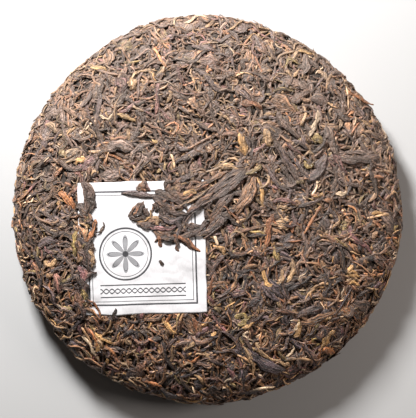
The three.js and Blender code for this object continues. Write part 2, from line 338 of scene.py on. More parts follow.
@dataclass
class HeightField:
    """How high the leaves laid so far stand over the disc, on a square grid of a chart."""

    reach: float  # half the side of the square
    cell: float = 0.6 * MM

    INSIDE: ClassVar = 0.001  # how far samples stay inside the last cell, in cells

    def __post_init__(self) -> None:
        """Starts with a bare disc."""
        self.count = int(2 * self.reach / self.cell) + 2
        self.heights = np.zeros((self.count, self.count))

    def cells(self, xy: np.ndarray) -> tuple[np.ndarray, np.ndarray]:
        """The grid's rows and columns nearest to places.

        Args:
            xy: places, two numbers in metres along the last axis.

        Returns:
            The rows and the columns.
        """
        index = np.rint((xy + self.reach) / self.cell).astype(int)
        index = np.clip(index, 0, self.count - 1)
        return index[..., 0], index[..., 1]

    def grid(self) -> np.ndarray:
        """The places of all cells, as an (n, n, 2) array."""
        line = np.arange(self.count) * self.cell - self.reach
        return np.stack(np.meshgrid(line, line, indexing="ij"), -1)

    def blurred(self, radius: float) -> np.ndarray:
        """The heights averaged over a square window, three times.

        Args:
            radius: half the window's side.

        Returns:
            The smoothed grid.
        """
        half = max(1, int(radius / self.cell))
        result = self.heights
        for _ in range(3):
            for axis in (0, 1):
                padding = [(0, 0), (0, 0)]
                padding[axis] = (half + 1, half)
                total = np.cumsum(np.pad(result, padding, mode="edge"), axis=axis)
                high = np.take(total, np.arange(2 * half + 1, total.shape[axis]), axis=axis)
                low = np.take(total, np.arange(0, total.shape[axis] - 2 * half - 1), axis=axis)
                result = (high - low) / (2 * half + 1)
        return result

    def sample(self, values: np.ndarray, xy: np.ndarray) -> np.ndarray:
        """Values of a grid at places, smoothly between its cells.

        Args:
            values: a grid of this field's size.
            xy: (..., 2) places.

        Returns:
            (...) values.
        """
        spot = np.clip((xy + self.reach) / self.cell, 0, self.count - 1 - self.INSIDE)
        low = spot.astype(int)
        share = spot - low
        i, j = low[..., 0], low[..., 1]
        a, b = share[..., 0], share[..., 1]
        return (
            values[i, j] * (1 - a) * (1 - b)
            + values[i + 1, j] * a * (1 - b)
            + values[i, j + 1] * (1 - a) * b
            + values[i + 1, j + 1] * a * b
        )


@dataclass(frozen=True)
class LeafFinish:
    """The finish of one kind of leaf: dry, finely streaked along its length, with a faint sheen.

    The painted haze is a pale grey mixed into the leaves' colour, more and more towards the top of the face:
    painted sheen, where the light from the top glances off the leaves.
    """

    name: str
    streak: float = 0.95
    blotch: float = 0.3
    vein: float = 0.6
    vein_colour: Shade = Shade.TAN
    roughness: tuple[float, float] = (0.42, 0.66)
    bump: float = 1.0
    bump_depth: float = 1.4 * MM
    streak_width: float = 0.5
    # how light the painted shade at the middle of a crease leaves the colour
    crease_shade: float = 0.22
    specular: float = 0.75
    # how strong the painted sheen is at the top of the face, and its grey
    painted_haze: float = 0.35
    painted_haze_colour: Shade = Shade.HAZE


@dataclass(frozen=True)
class LeafKind:
    """One kind of scattered leaf, with the range of each of its sizes and its counts on the two sides."""

    name: str
    finish: LeafFinish
    shades: dict[Shade, float] = field(default_factory=dict)
    length: tuple[float, float] = (0, 0)
    width: tuple[float, float] = (0, 0)
    flatness: tuple[float, float] = (0, 0)
    counts: tuple[int, int] = (0, 0)
    sides: int = 7
    rings: int = 9
    bend: float = 0.05
    curl: float = 0.6
    kink: float = 0.16
    ridge: float = 0.14
    ridges: int = 3
    twist: float = 4.0
    cup: float = 0.0
    roll: float = 3.1
    blunt: float = 0.45
    layer: float = 0.5
    spread: float = 1.0
    coarse: tuple[int, int] = (6, 8)
    lift: float = 0.0

    def on(self, side: Side) -> LeafKind:
        """The kind as it is laid on a side: the underside's leaves have fewer faces."""
        return self if side is Side.FACE else replace(self, sides=self.coarse[0], rings=self.coarse[1])


def ring_shares(rings: int, evenness: float = 0.35) -> np.ndarray:
    """The shares of a leaf's length at which its rings stand, closer together near both tips."""
    even = np.linspace(0, 1, rings)
    return evenness * even + (1 - evenness) * (0.5 - 0.5 * np.cos(math.pi * even))


def tube_triangles(rings: int, sides: int) -> tuple[np.ndarray, np.ndarray]:
    """The net of a tube closed by a point at each end.

    Its vertices are the first tip, the rings between the tips and the last tip.

    Args:
        rings: how many stops it has, the tips included.
        sides: how many vertices a ring has.

    Returns:
        The triangles, and for each corner its stop and its side, where the side goes past the last one.
    """
    stops, turns = np.meshgrid(np.arange(1, rings - 2), np.arange(sides), indexing="ij")
    stop, side = stops.ravel(), turns.ravel()
    around = np.arange(sides)
    first, last = np.zeros(sides, int), np.full(sides, rings - 1)
    faces = (
        ((stop, side), (stop, side + 1), (stop + 1, side + 1)),
        ((stop, side), (stop + 1, side + 1), (stop + 1, side)),
        ((first, around), (first + 1, around + 1), (first + 1, around)),
        ((last, around), (last - 1, around), (last - 1, around + 1)),
    )
    corners = np.concatenate([np.stack([np.stack(corner, 1) for corner in face], 1) for face in faces])
    at, beside = corners[..., 0], corners[..., 1] % sides
    on_ring = 1 + (at - 1) * sides + beside
    end = 1 + (rings - 2) * sides
    return np.where(at == 0, 0, np.where(at == rings - 1, end, on_ring)), corners


@dataclass
class LeafBatch:
    """Leaves of one kind on one chart, as arrays with one row for each leaf.

    A leaf's width is uneven by two waves along it, each with its size, its rate along the leaf and the rate
    at which the leaf's own seed shifts it.
    """

    kind: LeafKind
    paths: np.ndarray  # (n, rings, 2) on the chart
    width: np.ndarray
    thickness: np.ndarray
    roll: np.ndarray
    tint: np.ndarray  # (n, 3)
    rank: np.ndarray
    seed: np.ndarray
    lift: np.ndarray  # how far each leaf's last tip stands off the mat
    base: np.ndarray = field(init=False)

    UNEVEN: ClassVar = ((0.2, 11, 61), (0.12, 23, 131))
    TAPER: ClassVar = 0.9  # below 1, the leaf is fullest before its middle
    WINDING: ClassVar = (40, 977)  # how fast the seed turns a leaf's ridges, and picks which way they wind
    CUP: ClassVar = (313, 2.5, 0.35)  # the rates of the seed and along the leaf, and the height taken off
    FOLD: ClassVar = (0.35, 7, 91)  # its share of the cup, and the rates across the leaf and of the seed
    ROLL_SHARE: ClassVar = 0.3

    def __post_init__(self) -> None:
        """Every leaf starts on the bare disc."""
        self.base = np.zeros(self.paths.shape[:2])

    def fullness(self) -> np.ndarray:
        """How full a leaf is at each ring, from 0 at its tips to 1: a sine raised to a power."""
        share = ring_shares(self.kind.rings)
        return np.sin(math.pi * np.clip(share, 0, 1) ** self.TAPER) ** self.kind.blunt

    def sideways(self) -> np.ndarray:
        """The unit direction across each leaf at each ring.

        Returns:
            Two numbers for each leaf and ring.
        """
        ahead = np.gradient(self.paths, axis=1)
        ahead /= np.maximum(np.linalg.norm(ahead, axis=2, keepdims=True), TINY)
        return np.stack([-ahead[..., 1], ahead[..., 0]], -1)

    def section(self) -> tuple[np.ndarray, np.ndarray]:
        """The leaves' sections, rolled and twisted about their middle lines.

        A section is an ellipse with ridges that wind round the leaf; a broad leaf's edges are cupped, by
        the square of the distance from its middle line.

        Returns:
            (n, rings, sides) distances across and upwards.
        """
        kind = self.kind
        share = ring_shares(kind.rings)[None, :, None]
        around = np.linspace(0, 2 * math.pi, kind.sides, endpoint=False)[None, None, :]
        seed = self.seed[:, None, None]
        turn_rate, way_rate = self.WINDING
        winding = seed * turn_rate + kind.twist * (share - 0.5) * np.sign(np.sin(seed * way_rate))
        swell = 1 + kind.ridge * np.cos(kind.ridges * around + winding)
        full = self.fullness()[None, :, None]
        half_width = self.width[:, None, None] / 2
        half_thick = self.thickness[:, None, None] / 2
        uneven = 1.0
        for size, rate, shift in self.UNEVEN:
            uneven = uneven + size * np.sin(share * rate + seed * shift)
        across = half_width * np.cos(around) * swell * full * uneven
        up = half_thick * np.sin(around) * swell * full
        ratio = across / half_width
        cup_seed, cup_rate, level = self.CUP
        cup = kind.cup * np.sin(seed * cup_seed + share * cup_rate)
        fold_share, fold_rate, fold_seed = self.FOLD
        fold = fold_share * kind.cup * np.cos(ratio * fold_rate + seed * fold_seed)
        up = up + half_width * (cup * (ratio**2 - level) + fold * half_thick / half_width) * full
        turn = self.roll[:, None, None] + self.ROLL_SHARE * kind.twist * (share - 0.5) * (kind.cup == 0)
        return across * np.cos(turn) - up * np.sin(turn), across * np.sin(turn) + up * np.cos(turn)


@dataclass
class LeafMat:
    """The pressed mat of leaves on one chart: lays leaves one on another and presses them level."""

    chart: Chart
    ticket: TicketForm | None  # the ticket that the leaves stay under, on the side that has one
    margin: float = 14 * MM
    level: float = 0.8 * MM
    relief: float = 1.1 * MM
    squeeze: float = 0.66
    loose_relief: float = 1.7 * MM
    stiffness: float = 3.5 * MM  # half the length over which a leaf bridges what it lies on
    least_stops: int = 5
    press_reach: float = 5 * MM
    drape_reach: float = 1.2 * MM
    paper_gap: float = 0.12 * MM
    paper_edge: tuple[float, float] = (0.2 * MM, 1.8 * MM)  # where the leaves beside the paper rise
    paper_rise: float = 2.2 * MM
    tip_dip: tuple[float, float] = (0.5, 0.2)  # the share of its thickness by which a tip dips, pressed last
    tip_power: int = 8
    lift_power: int = 4
    terrain: HeightField = field(init=False)
    smooth: np.ndarray = field(init=False)  # the wide average that the press brings level
    ground: np.ndarray = field(init=False)  # the surface that loose leaves drape over

    def __post_init__(self) -> None:
        """Starts with a bare chart."""
        self.terrain = HeightField(self.chart.rim + self.margin)

    def settle(self, batches: list[LeafBatch], sink: float, pressed: bool) -> None:
        """Lays every leaf of some batches on what lies under it, in the order of their ranks.

        Args:
            batches: the leaves.
            sink: the share of a leaf's thickness by which it sinks into what it lies on.
            pressed: True if the leaves lie on the pressed mat, and so stay on top of it.
        """
        order = [(float(rank), b, i) for b, batch in enumerate(batches) for i, rank in enumerate(batch.rank)]
        sideways = [batch.sideways() for batch in batches]
        fullness = [batch.fullness() for batch in batches]
        shares = [ring_shares(batch.kind.rings) for batch in batches]
        terrain = self.terrain
        window = max(3, int(self.stiffness / terrain.cell))
        kernel = np.ones(2 * window + 1) / (2 * window + 1)
        for _, b, i in sorted(order):
            batch = batches[b]
            thickness, share = batch.thickness[i], shares[b]
            length = np.linalg.norm(np.diff(batch.paths[i], axis=0), axis=1).sum()
            at = np.linspace(0, 1, max(self.least_stops, int(length / terrain.cell) + 1))
            across = np.linspace(-1, 1, max(3, int(batch.width[i] / terrain.cell) + 1))
            line, edge = (
                np.stack([np.interp(at, share, column) for column in way.T], 1)
                for way in (batch.paths[i], sideways[b][i])
            )
            fat = np.interp(at, share, fullness[b])
            half = batch.width[i] / 2 * fat
            spots = line[:, None] + edge[:, None] * (half[:, None] * across)[..., None]
            rows, columns = terrain.cells(spots)
            under = terrain.heights[rows, columns]
            padded = np.pad(0.5 * under.mean(1) + 0.5 * under.max(1), window, mode="edge")
            base = np.convolve(padded, kernel, mode="valid") - sink * thickness
            if pressed:
                base = np.maximum(base, under.max(1) - 0.5 * thickness)
            base = base - thickness * (2 * at - 1) ** self.tip_power * self.tip_dip[int(pressed)]
            batch.base[i] = np.interp(share, at, base)
            bulge = np.sqrt(np.maximum(1 - across**2, 0))
            top = base[:, None] + thickness * fat[:, None] * (0.5 + 0.5 * bulge)
            np.maximum.at(terrain.heights, (rows, columns), top)

    def press(self) -> None:
        """Presses the mat level: from here on, heights are taken off a wide average of the mat."""
        terrain = self.terrain
        self.smooth = terrain.blurred(self.press_reach)
        grid = terrain.grid()
        terrain.heights = self.pressed(grid, terrain.heights)
        if self.ticket is not None:
            on_paper = self.ticket.outside(grid) < 0
            paper = self.ticket.bottom(grid) + self.ticket.thickness
            terrain.heights = np.where(on_paper, paper, terrain.heights)
            self.ground = terrain.blurred(self.drape_reach)

    def pressed(self, xy: np.ndarray, height: np.ndarray) -> np.ndarray:
        """Heights after the press: what stands proud is squeezed, the more the higher it stands.

        Args:
            xy: (..., 2) places on the chart.
            height: (...) heights before the press.

        Returns:
            (...) heights after it, under the paper where there is a ticket.
        """
        over = (height - self.terrain.sample(self.smooth, xy)) * self.squeeze
        high = self.relief * (1 - np.exp(-np.maximum(over, 0) / self.relief))
        result = self.level + np.where(over > 0, high, over)
        if self.ticket is None:
            return result
        outside = self.ticket.outside(xy)
        start, end = self.paper_edge
        free = np.clip((outside - start) / (end - start), 0, 1)
        free = free * free * (3 - 2 * free)
        limit = self.ticket.bottom(xy) - self.paper_gap + free * self.paper_rise
        return np.where(outside < end, np.minimum(result, limit), result)

    def points(self, batch: LeafBatch, loose: bool) -> np.ndarray:
        """The vertices of a batch, leaf by leaf: the first tip, the rings and the last tip.

        Args:
            batch: leaves that have been settled.
            loose: True if they lie on the pressed mat, unpressed.

        Returns:
            An (n, vertices, 3) array.
        """
        across, up = batch.section()
        xy = batch.paths[:, :, None] + batch.sideways()[:, :, None] * across[..., None]
        full = batch.fullness()[None, :, None]
        middle = batch.base[:, :, None] + batch.thickness[:, None, None] * full / 2
        height = middle + up
        if loose:
            ground = self.terrain.sample(self.ground, xy)
            over = height - ground
            proud = self.loose_relief * (1 - np.exp(-np.maximum(over, 0) / self.loose_relief))
            height = ground + np.where(over > 0, proud, over)
        else:
            height = self.pressed(xy, height)
        off = ring_shares(batch.kind.rings) ** self.lift_power
        height = height + batch.lift[:, None, None] * off[None, :, None]
        placed = self.chart.place(xy, height)
        tips = placed[:, [0, -1]].mean(2)
        count = len(placed)
        rings = placed[:, 1:-1].reshape(count, -1, 3)
        return np.concatenate([tips[:, :1], rings, tips[:, 1:]], 1)


def mesh_piece(
    name: str,
    points: np.ndarray,
    triangles: np.ndarray,
    uv: np.ndarray | None = None,
    tint: np.ndarray | None = None,
) -> bpy.types.Object:
    """Makes a smooth mesh object at the origin.

    Args:
        name: the piece's name.
        points: (n, 3) vertices.
        triangles: (m, 3) corners.
        uv: (m, 3, 2) places on the piece's own map, if it has one.
        tint: (n, 3) colours of the vertices, if it has them.

    Returns:
        The object, riding on the root body.
    """
    mesh = bpy.data.meshes.new(name)
    mesh.vertices.add(len(points))
    mesh.vertices.foreach_set("co", points.astype(np.float32).ravel())
    mesh.loops.add(3 * len(triangles))
    mesh.loops.foreach_set("vertex_index", triangles.astype(np.int32).ravel())
    mesh.polygons.add(len(triangles))
    mesh.polygons.foreach_set("loop_start", np.arange(0, 3 * len(triangles), 3, dtype=np.int32))
    mesh.polygons.foreach_set("use_smooth", np.ones(len(triangles), bool))
    if uv is not None:
        layer = mesh.uv_layers.new(name="UVMap")
        layer.data.foreach_set("uv", uv.astype(np.float32).ravel())
    if tint is not None:
        colours = mesh.color_attributes.new(name="tint", type="FLOAT_COLOR", domain="POINT")
        full = np.concatenate([tint, np.ones((len(tint), 1))], 1)
        colours.data.foreach_set("color", full.astype(np.float32).ravel())
    mesh.update()
    mesh.validate()
    piece = bpy.data.objects.new(name, mesh)
    bpy.context.scene.collection.objects.link(piece)
    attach(piece, "root")
    LOG.info("%s: %d triangles", name, len(triangles))
    return piece


SOCKETS = {
    "colour": "Base Color",
    "roughness": "Roughness",
    "specular": "Specular IOR Level",
    "glow": "Emission Color",
    "glow_strength": "Emission Strength",
}


@dataclass(frozen=True)
class Value:
    """A node's output that can be reckoned with: each sum or product adds a node."""

    sheet: NodeSheet
    socket: bpy.types.NodeSocket

    def __add__(self, other: Value | float) -> Value:
        """The sum."""
        return self.sheet.maths("ADD", self, other)

    def __sub__(self, other: Value | float) -> Value:
        """The difference."""
        return self.sheet.maths("SUBTRACT", self, other)

    def __mul__(self, other: Value | float) -> Value:
        """The product."""
        return self.sheet.maths("MULTIPLY", self, other)

    def size(self) -> Value:
        """The value without its sign."""
        return self.sheet.maths("ABSOLUTE", self)

    def under(self, limit: float, soft: float = 0.08) -> Value:
        """1 where the value is under a limit, 0 where it is over, with a soft step between."""
        return self.sheet.steps(self, limit - soft, limit + soft, 1, 0)

    def larger(self, other: Value | float) -> Value:
        """The larger of two."""
        return self.sheet.maths("MAXIMUM", self, other)

    def smaller(self, other: Value | float) -> Value:
        """The smaller of two."""
        return self.sheet.maths("MINIMUM", self, other)


Paint = Value | Colour


class NodeSheet:
    """The nodes of one material, added and joined from code."""

    MIX_COLOURS: ClassVar = slice(6, 8)  # the two colour inputs of a Mix node

    def __init__(self, name: str) -> None:
        """Starts a material with its shader and output.

        Args:
            name: the material's name.
        """
        self.material = bpy.data.materials.new(name)
        self.material.use_nodes = True
        self.tree = self.material.node_tree
        self.tree.nodes.clear()
        self.shader = self.tree.nodes.new("ShaderNodeBsdfPrincipled")
        output = self.tree.nodes.new("ShaderNodeOutputMaterial")
        self.tree.links.new(self.shader.outputs[0], output.inputs["Surface"])

    def node(self, kind: str, **settings: object) -> bpy.types.Node:
        """Adds a node and sets its properties.

        Args:
            kind: Blender's name for the kind of node.
            **settings: its properties, by name.

        Returns:
            The node.
        """
        made = self.tree.nodes.new(kind)
        for key, value in settings.items():
            setattr(made, key, value)
        return made

    def feed(self, socket: bpy.types.NodeSocket, value: Value | float) -> None:
        """Links a value into a socket, or sets it there.

        Args:
            socket: the input.
            value: another node's value, or what the input is set to.
        """
        if isinstance(value, Value):
            self.tree.links.new(value.socket, socket)
        else:
            socket.default_value = value

    def maths(self, operation: str, first: Value | float, second: Value | float = 0.0) -> Value:
        """Adds a Math node.

        Args:
            operation: Blender's name for the operation.
            first: its first number.
            second: its second number, where it takes one.

        Returns:
            The result.
        """
        made = self.node("ShaderNodeMath", operation=operation)
        self.feed(made.inputs[0], first)
        self.feed(made.inputs[1], second)
        return Value(self, made.outputs[0])

    def steps(self, value: Value, low: float, high: float, to_low: float, to_high: float) -> Value:
        """Maps a range of a value onto another, smoothly and clamped.

        Args:
            value: the value.
            low: where the range begins.
            high: where the range ends.
            to_low: the result up to its beginning.
            to_high: the result from its end on.

        Returns:
            The result.
        """
        made = self.node("ShaderNodeMapRange", interpolation_type="SMOOTHSTEP")
        self.feed(made.inputs["Value"], value)
        for key, number in zip(("From Min", "From Max", "To Min", "To Max"), (low, high, to_low, to_high)):
            made.inputs[key].default_value = number
        return Value(self, made.outputs["Result"])

    def parts(self, vector: Value) -> tuple[Value, Value]:
        """A vector's first two coordinates.

        Args:
            vector: the vector.

        Returns:
            The two coordinates.
        """
        split = self.node("ShaderNodeSeparateXYZ")
        self.feed(split.inputs[0], vector)
        return Value(self, split.outputs[0]), Value(self, split.outputs[1])

    def map(self) -> tuple[Value, Value]:
        """The two coordinates of the piece's own map."""
        return self.parts(Value(self, self.node("ShaderNodeUVMap", uv_map="UVMap").outputs[0]))

    def vector(self, x: Value | float, y: Value | float, z: Value | float = 0.0) -> Value:
        """Joins three values into a vector.

        Args:
            x: its first coordinate.
            y: its second coordinate.
            z: its third coordinate.

        Returns:
            The vector.
        """
        made = self.node("ShaderNodeCombineXYZ")
        for socket, value in zip(made.inputs, (x, y, z)):
            self.feed(socket, value)
        return Value(self, made.outputs[0])

    def place(self) -> Value:
        """The Object coordinates."""
        return Value(self, self.node("ShaderNodeTexCoord").outputs["Object"])

    def paint(self, **values: Value | float | tuple[float, ...]) -> None:
        """Feeds the shader's sockets by their short names; a colour is red, green and blue.

        Args:
            **values: what each socket is fed or set to.
        """
        for name, value in values.items():
            socket = self.shader.inputs[SOCKETS[name]]
            self.feed(socket, (*value, 1) if isinstance(value, tuple) else value)

    def noise(self, vector: Value, scale: float, detail: float = 3.0, rough: float = 0.55) -> Value:
        """Adds a Noise Texture and gives its value.

        Args:
            vector: where the noise is read.
            scale: how fast it changes.
            detail: how many finer layers it has.
            rough: how strong the finer layers are.

        Returns:
            The noise.
        """
        made = self.node("ShaderNodeTexNoise")
        self.feed(made.inputs["Vector"], vector)
        made.inputs["Scale"].default_value = scale
        made.inputs["Detail"].default_value = detail
        made.inputs["Roughness"].default_value = rough
        return Value(self, made.outputs["Fac"])

    def mixed(self, share: Value | float, first: Paint, second: Paint, blend: str = "MIX") -> Value:
        """Mixes two colours.

        Args:
            share: how much the second colour counts, from 0 to 1.
            first: the first colour.
            second: the second colour.
            blend: Blender's name for the way of mixing.

        Returns:
            The colour.
        """
        made = self.node("ShaderNodeMix", data_type="RGBA", blend_type=blend)
        self.feed(made.inputs[0], share)
        for socket, paint in zip(made.inputs[self.MIX_COLOURS], (first, second)):
            self.feed(socket, paint if isinstance(paint, Value) else (*paint, 1))
        return Value(self, made.outputs[2])

    def bump(self, height: Value, strength: float, distance: float) -> None:
        """Puts a bump from a height into the shader.

        Args:
            height: the height.
            strength: how strongly it shows.
            distance: how far it reaches, in metres.
        """
        made = self.node("ShaderNodeBump")
        made.inputs["Strength"].default_value = strength
        made.inputs["Distance"].default_value = distance
        self.feed(made.inputs["Height"], height)
        self.tree.links.new(made.outputs[0], self.shader.inputs["Normal"])


@dataclass(frozen=True)
class Grain:
    """A noise on a leaf's own map: how fast it changes across the leaf and along it, and how rich it is."""

    across: float
    along: float
    shift: float = 0.0
    scale: float = 1.0
    detail: float = 3.0
    rough: float = 0.55

    def on(self, sheet: NodeSheet, width: float = 1.0) -> Value:
        """The noise in a material, with its streaks as wide as given.

        Args:
            sheet: the material's nodes.
            width: how wide its streaks are, 1 as they come.

        Returns:
            The noise.
        """
        around, along = sheet.map()
        place = sheet.vector(around * (self.across / width), along * self.along, self.shift)
        return sheet.noise(place, self.scale, self.detail, self.rough)


STREAKS = Grain(1.0, 0.14, detail=4.0, rough=0.6)
VEINS = Grain(1.3, 0.1, shift=7.0)
FOLDS = Grain(0.8, 0.2, shift=3.0, scale=0.6, detail=2.0)
WRINKLES = Grain(1.0, 0.8, scale=0.9)
STREAK_RANGE, VEIN_RANGE, ROUGH_RANGE = (0.34, 0.68), (0.52, 0.7), (0.3, 0.7)
CREASE_WIDTH = 0.045
BLOTCH_SCALE = 160.0
# where the painted sheen begins and where it is full, up the face
PAINTED_HAZE_RANGE = (-70 * MM, 60 * MM)
BUMP_SHARES = (0.6, 0.6, 0.35)  # of the streaks, the wrinkles and the creases


def leaf_material(finish: LeafFinish) -> bpy.types.Material:
    """A leaf's material: its own tint, streaked along its length and blotched, with painted light and shade
    on the streaks, painted shade in thin creases, and ridged bump.

    Args:
        finish: the kind's finish.

    Returns:
        The material.
    """
    sheet = NodeSheet(finish.name)
    streaks, veins, folds = (grain.on(sheet, finish.streak_width) for grain in (STREAKS, VEINS, FOLDS))
    wrinkles = WRINKLES.on(sheet)
    # Painted shade: thin dark lines along the folds, where shade falls in the creases; the same lines deepen
    # the bump.
    shaded_creases = sheet.steps((folds - 0.5).size(), 0.0, CREASE_WIDTH, finish.crease_shade, 1)
    blotches = sheet.noise(sheet.place(), BLOTCH_SCALE, 2.0)
    tint = Value(sheet, sheet.node("ShaderNodeVertexColor", layer_name="tint").outputs["Color"])
    # The streaks also raise the bump, so this paints their ridges lighter and their valleys darker: partly
    # the leaf's own striped tone, partly painted light and shade of that relief.
    light = sheet.steps(streaks, *STREAK_RANGE, 1 - finish.streak, 1 + finish.streak)
    patch = sheet.steps(blotches, *ROUGH_RANGE, 1 - finish.blotch, 1 + finish.blotch)
    # level carries the streaks' painted light and shade and the creases' painted shade, with the blotches'
    # own tone.
    level = light * patch * shaded_creases
    share = sheet.steps(veins, *VEIN_RANGE, 0, finish.vein)
    veined = sheet.mixed(share, tint, finish.vein_colour.linear())
    shaded = sheet.mixed(1.0, veined, sheet.vector(level, level, level), "MULTIPLY")
    # Painted sheen: the colour turns paler and greyer towards the top of the face.
    painted_haze_share = sheet.steps(sheet.parts(sheet.place())[1], *PAINTED_HAZE_RANGE, 0, finish.painted_haze)
    sheet.paint(
        colour=sheet.mixed(painted_haze_share, shaded, finish.painted_haze_colour.linear()),
        roughness=sheet.steps(wrinkles, *ROUGH_RANGE, *finish.roughness),
        specular=finish.specular,
    )
    fine, broad, sharp = (part * share for part, share in zip((streaks, wrinkles, shaded_creases), BUMP_SHARES))
    sheet.bump(fine + broad + sharp, finish.bump, finish.bump_depth)
    return sheet.material


@dataclass
class PressedCore:
    """The broken leaf deep in the cake, which shows in the gaps between the leaves; its near black brown is
    painted shade, standing for the shade deep in those gaps.
    """

    form: CakeForm
    name: str = "core"
    rows: int = 180
    columns: int = 240
    depth: float = 0.45 * MM
    relief: float = 0.45 * MM
    grain: float = 4 * MM
    relief_waves: int = 16
    # near black brown: painted shade of the gaps, over the crumbs' own mottling
    dark: Colour = (0.03, 0.022, 0.017)
    light: Colour = (0.096, 0.0704, 0.0544)
    crumb_scale: float = 900.0
    crumb_range: tuple[float, float] = (0.35, 0.75)
    roughness: float = 0.85
    bump: tuple[float, float] = (0.9, 0.6 * MM)

    def build(self) -> bpy.types.Object:
        """Makes the closed surface: the outline turned about the axis, with crossed waves of relief.

        Returns:
            The piece, which stands for the cake's solid.
        """
        chart = Chart(self.form, Side.FACE)
        out = np.linspace(0, chart.along[-1], self.rows + 2)[1:-1]
        turn = np.linspace(0, 2 * math.pi, self.columns, endpoint=False)
        xy = out[:, None, None] * np.stack([np.cos(turn), np.sin(turn)], 1)[None]
        flat = chart.place(xy, np.zeros(xy.shape[:2]))
        relief = Ripples(3, self.grain, 3, self.relief_waves)(flat) * self.relief
        body = chart.place(xy, relief - self.depth).reshape(-1, 3)
        ends = np.array([[TINY, 0.0], [chart.along[-1], 0.0]])
        poles = chart.place(ends, np.full(2, -self.depth))
        triangles, _ = tube_triangles(self.rows + 2, self.columns)
        points = np.concatenate([poles[:1], body, poles[1:]])
        piece = mesh_piece(self.name, points, triangles[:, ::-1])
        piece.data.materials.append(self.material())
        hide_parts("cake")
        return piece

    def material(self) -> bpy.types.Material:
        """Crumbled leaf, mottled and quite matt; its near black brown is painted shade of the deep gaps.

        Returns:
            The material.
        """
        sheet = NodeSheet("packed leaf, painted gap shade")
        crumbs = sheet.noise(sheet.place(), self.crumb_scale, 4.0)
        share = sheet.steps(crumbs, *self.crumb_range, 0, 1)
        sheet.paint(colour=sheet.mixed(share, self.dark, self.light), roughness=self.roughness)
        sheet.bump(crumbs, *self.bump)
        return sheet.material


DARK_FINISH = LeafFinish("dark leaf", vein=0.5)
PALE_FINISH = LeafFinish(
    "pale leaf", streak=0.6, crease_shade=0.5, vein=0.4, vein_colour=Shade.STRAW, painted_haze=0.15
)
THREAD_FINISH = LeafFinish("leaf thread", streak=0.45, vein=0.3)

KINDS = (
    LeafKind(
        "dark_leaves",
        DARK_FINISH,
        mix(CHARCOAL=5, SOOT=4, SLATE=3, ASH=2, UMBER=3, MAUVE=0.8),
        (9 * MM, 27 * MM),
        (1.4 * MM, 3.3 * MM),
        (0.45, 0.8),
        (780, 740),
        sides=9, rings=10, ridge=0.22, layer=0.5,
    ),
    LeafKind(
        "brown_leaves",
        LeafFinish("brown leaf"),
        mix(BROWN=4, UMBER=4, RUSSET=1, MAUVE=1.5, ASH=1.5, OLIVE=0.7),
        (8 * MM, 22 * MM),
        (1.1 * MM, 2.5 * MM),
        (0.45, 0.85),
        (860, 900),
        sides=8, rings=10, curl=0.8, ridge=0.2, layer=0.48,
    ),
    LeafKind(
        "leaf_threads",
        THREAD_FINISH,
        mix(CHARCOAL=3, UMBER=3, BROWN=3, ASH=2, TAN=1.6, RUSSET=1, STRAW=0.4),
        (6 * MM, 17 * MM),
        (0.6 * MM, 1.4 * MM),
        (0.7, 1.0),
        (1650, 1100),
        sides=5, rings=10, coarse=(5, 8), bend=0.12, curl=1.2, ridge=0.05, layer=0.55,
    ),
    LeafKind(
        "leaf_blades",
        LeafFinish("leaf blade", streak_width=0.7),
        mix(CHARCOAL=3, SLATE=2.5, ASH=3, BROWN=2, UMBER=2, MAUVE=1.2, OLIVE=0.8, TAN=0.6),
        (7 * MM, 17 * MM),
        (3.6 * MM, 7.2 * MM),
        (0.14, 0.24),
        (380, 440),
        sides=12, rings=9, coarse=(10, 7), bend=0.04, curl=0.3, ridge=0.0, layer=0.4,
        cup=0.24, roll=0.25, blunt=0.5,
    ),
    LeafKind(
        "golden_buds",
        LeafFinish("golden bud", streak=0.5, vein_colour=Shade.STRAW, roughness=(0.5, 0.75)),
        mix(TAN=4, GOLD=2, OLIVE=2, BROWN=2, AMBER=1, RUSSET=1),
        (5 * MM, 14 * MM),
        (1.3 * MM, 3.4 * MM),
        (0.35, 0.6),
        (440, 360),
        layer=0.58, blunt=0.6,
    ),
    LeafKind(
        "stalks",
        LeafFinish("stalk", streak=0.35, vein=0.3, vein_colour=Shade.STRAW, bump=0.5),
        mix(RUSSET=2, TAN=3, STRAW=1, BROWN=3, AMBER=1),
        (6 * MM, 20 * MM),
        (0.9 * MM, 1.9 * MM),
        (0.7, 1.0),
        (220, 180),
        sides=6, rings=8, bend=0.06, curl=0.25, ridge=0.03, blunt=0.16, layer=0.62,
    ),
    LeafKind(
        "leaf_slivers",
        LeafFinish("leaf sliver", streak=0.4, crease_shade=0.7, vein=0.2, bump=0.6),
        mix(TAN=3, ASH=3, CHARCOAL=3, SOOT=3, BROWN=2, STRAW=1.5, GOLD=1, RUSSET=1),
        (3 * MM, 10 * MM),
        (0.45 * MM, 0.9 * MM),
        (0.7, 1.0),
        (2000, 250),
        sides=4, rings=6, coarse=(4, 6), bend=0.15, curl=0.7, ridge=0.0, layer=0.66, spread=1.3,
    ),
    LeafKind(
        "leaf_crumbs",
        LeafFinish("leaf crumb", streak=0.45),
        mix(CHARCOAL=3, BROWN=3, UMBER=2, TAN=1.5, GOLD=0.5, ASH=1),
        (2 * MM, 5 * MM),
        (1.0 * MM, 2.4 * MM),
        (0.4, 0.8),
        (2700, 1350),
        sides=5, rings=5, coarse=(5, 5), bend=0.0, curl=0.0, ridge=0.2, ridges=2, spread=2.0,
    ),
)

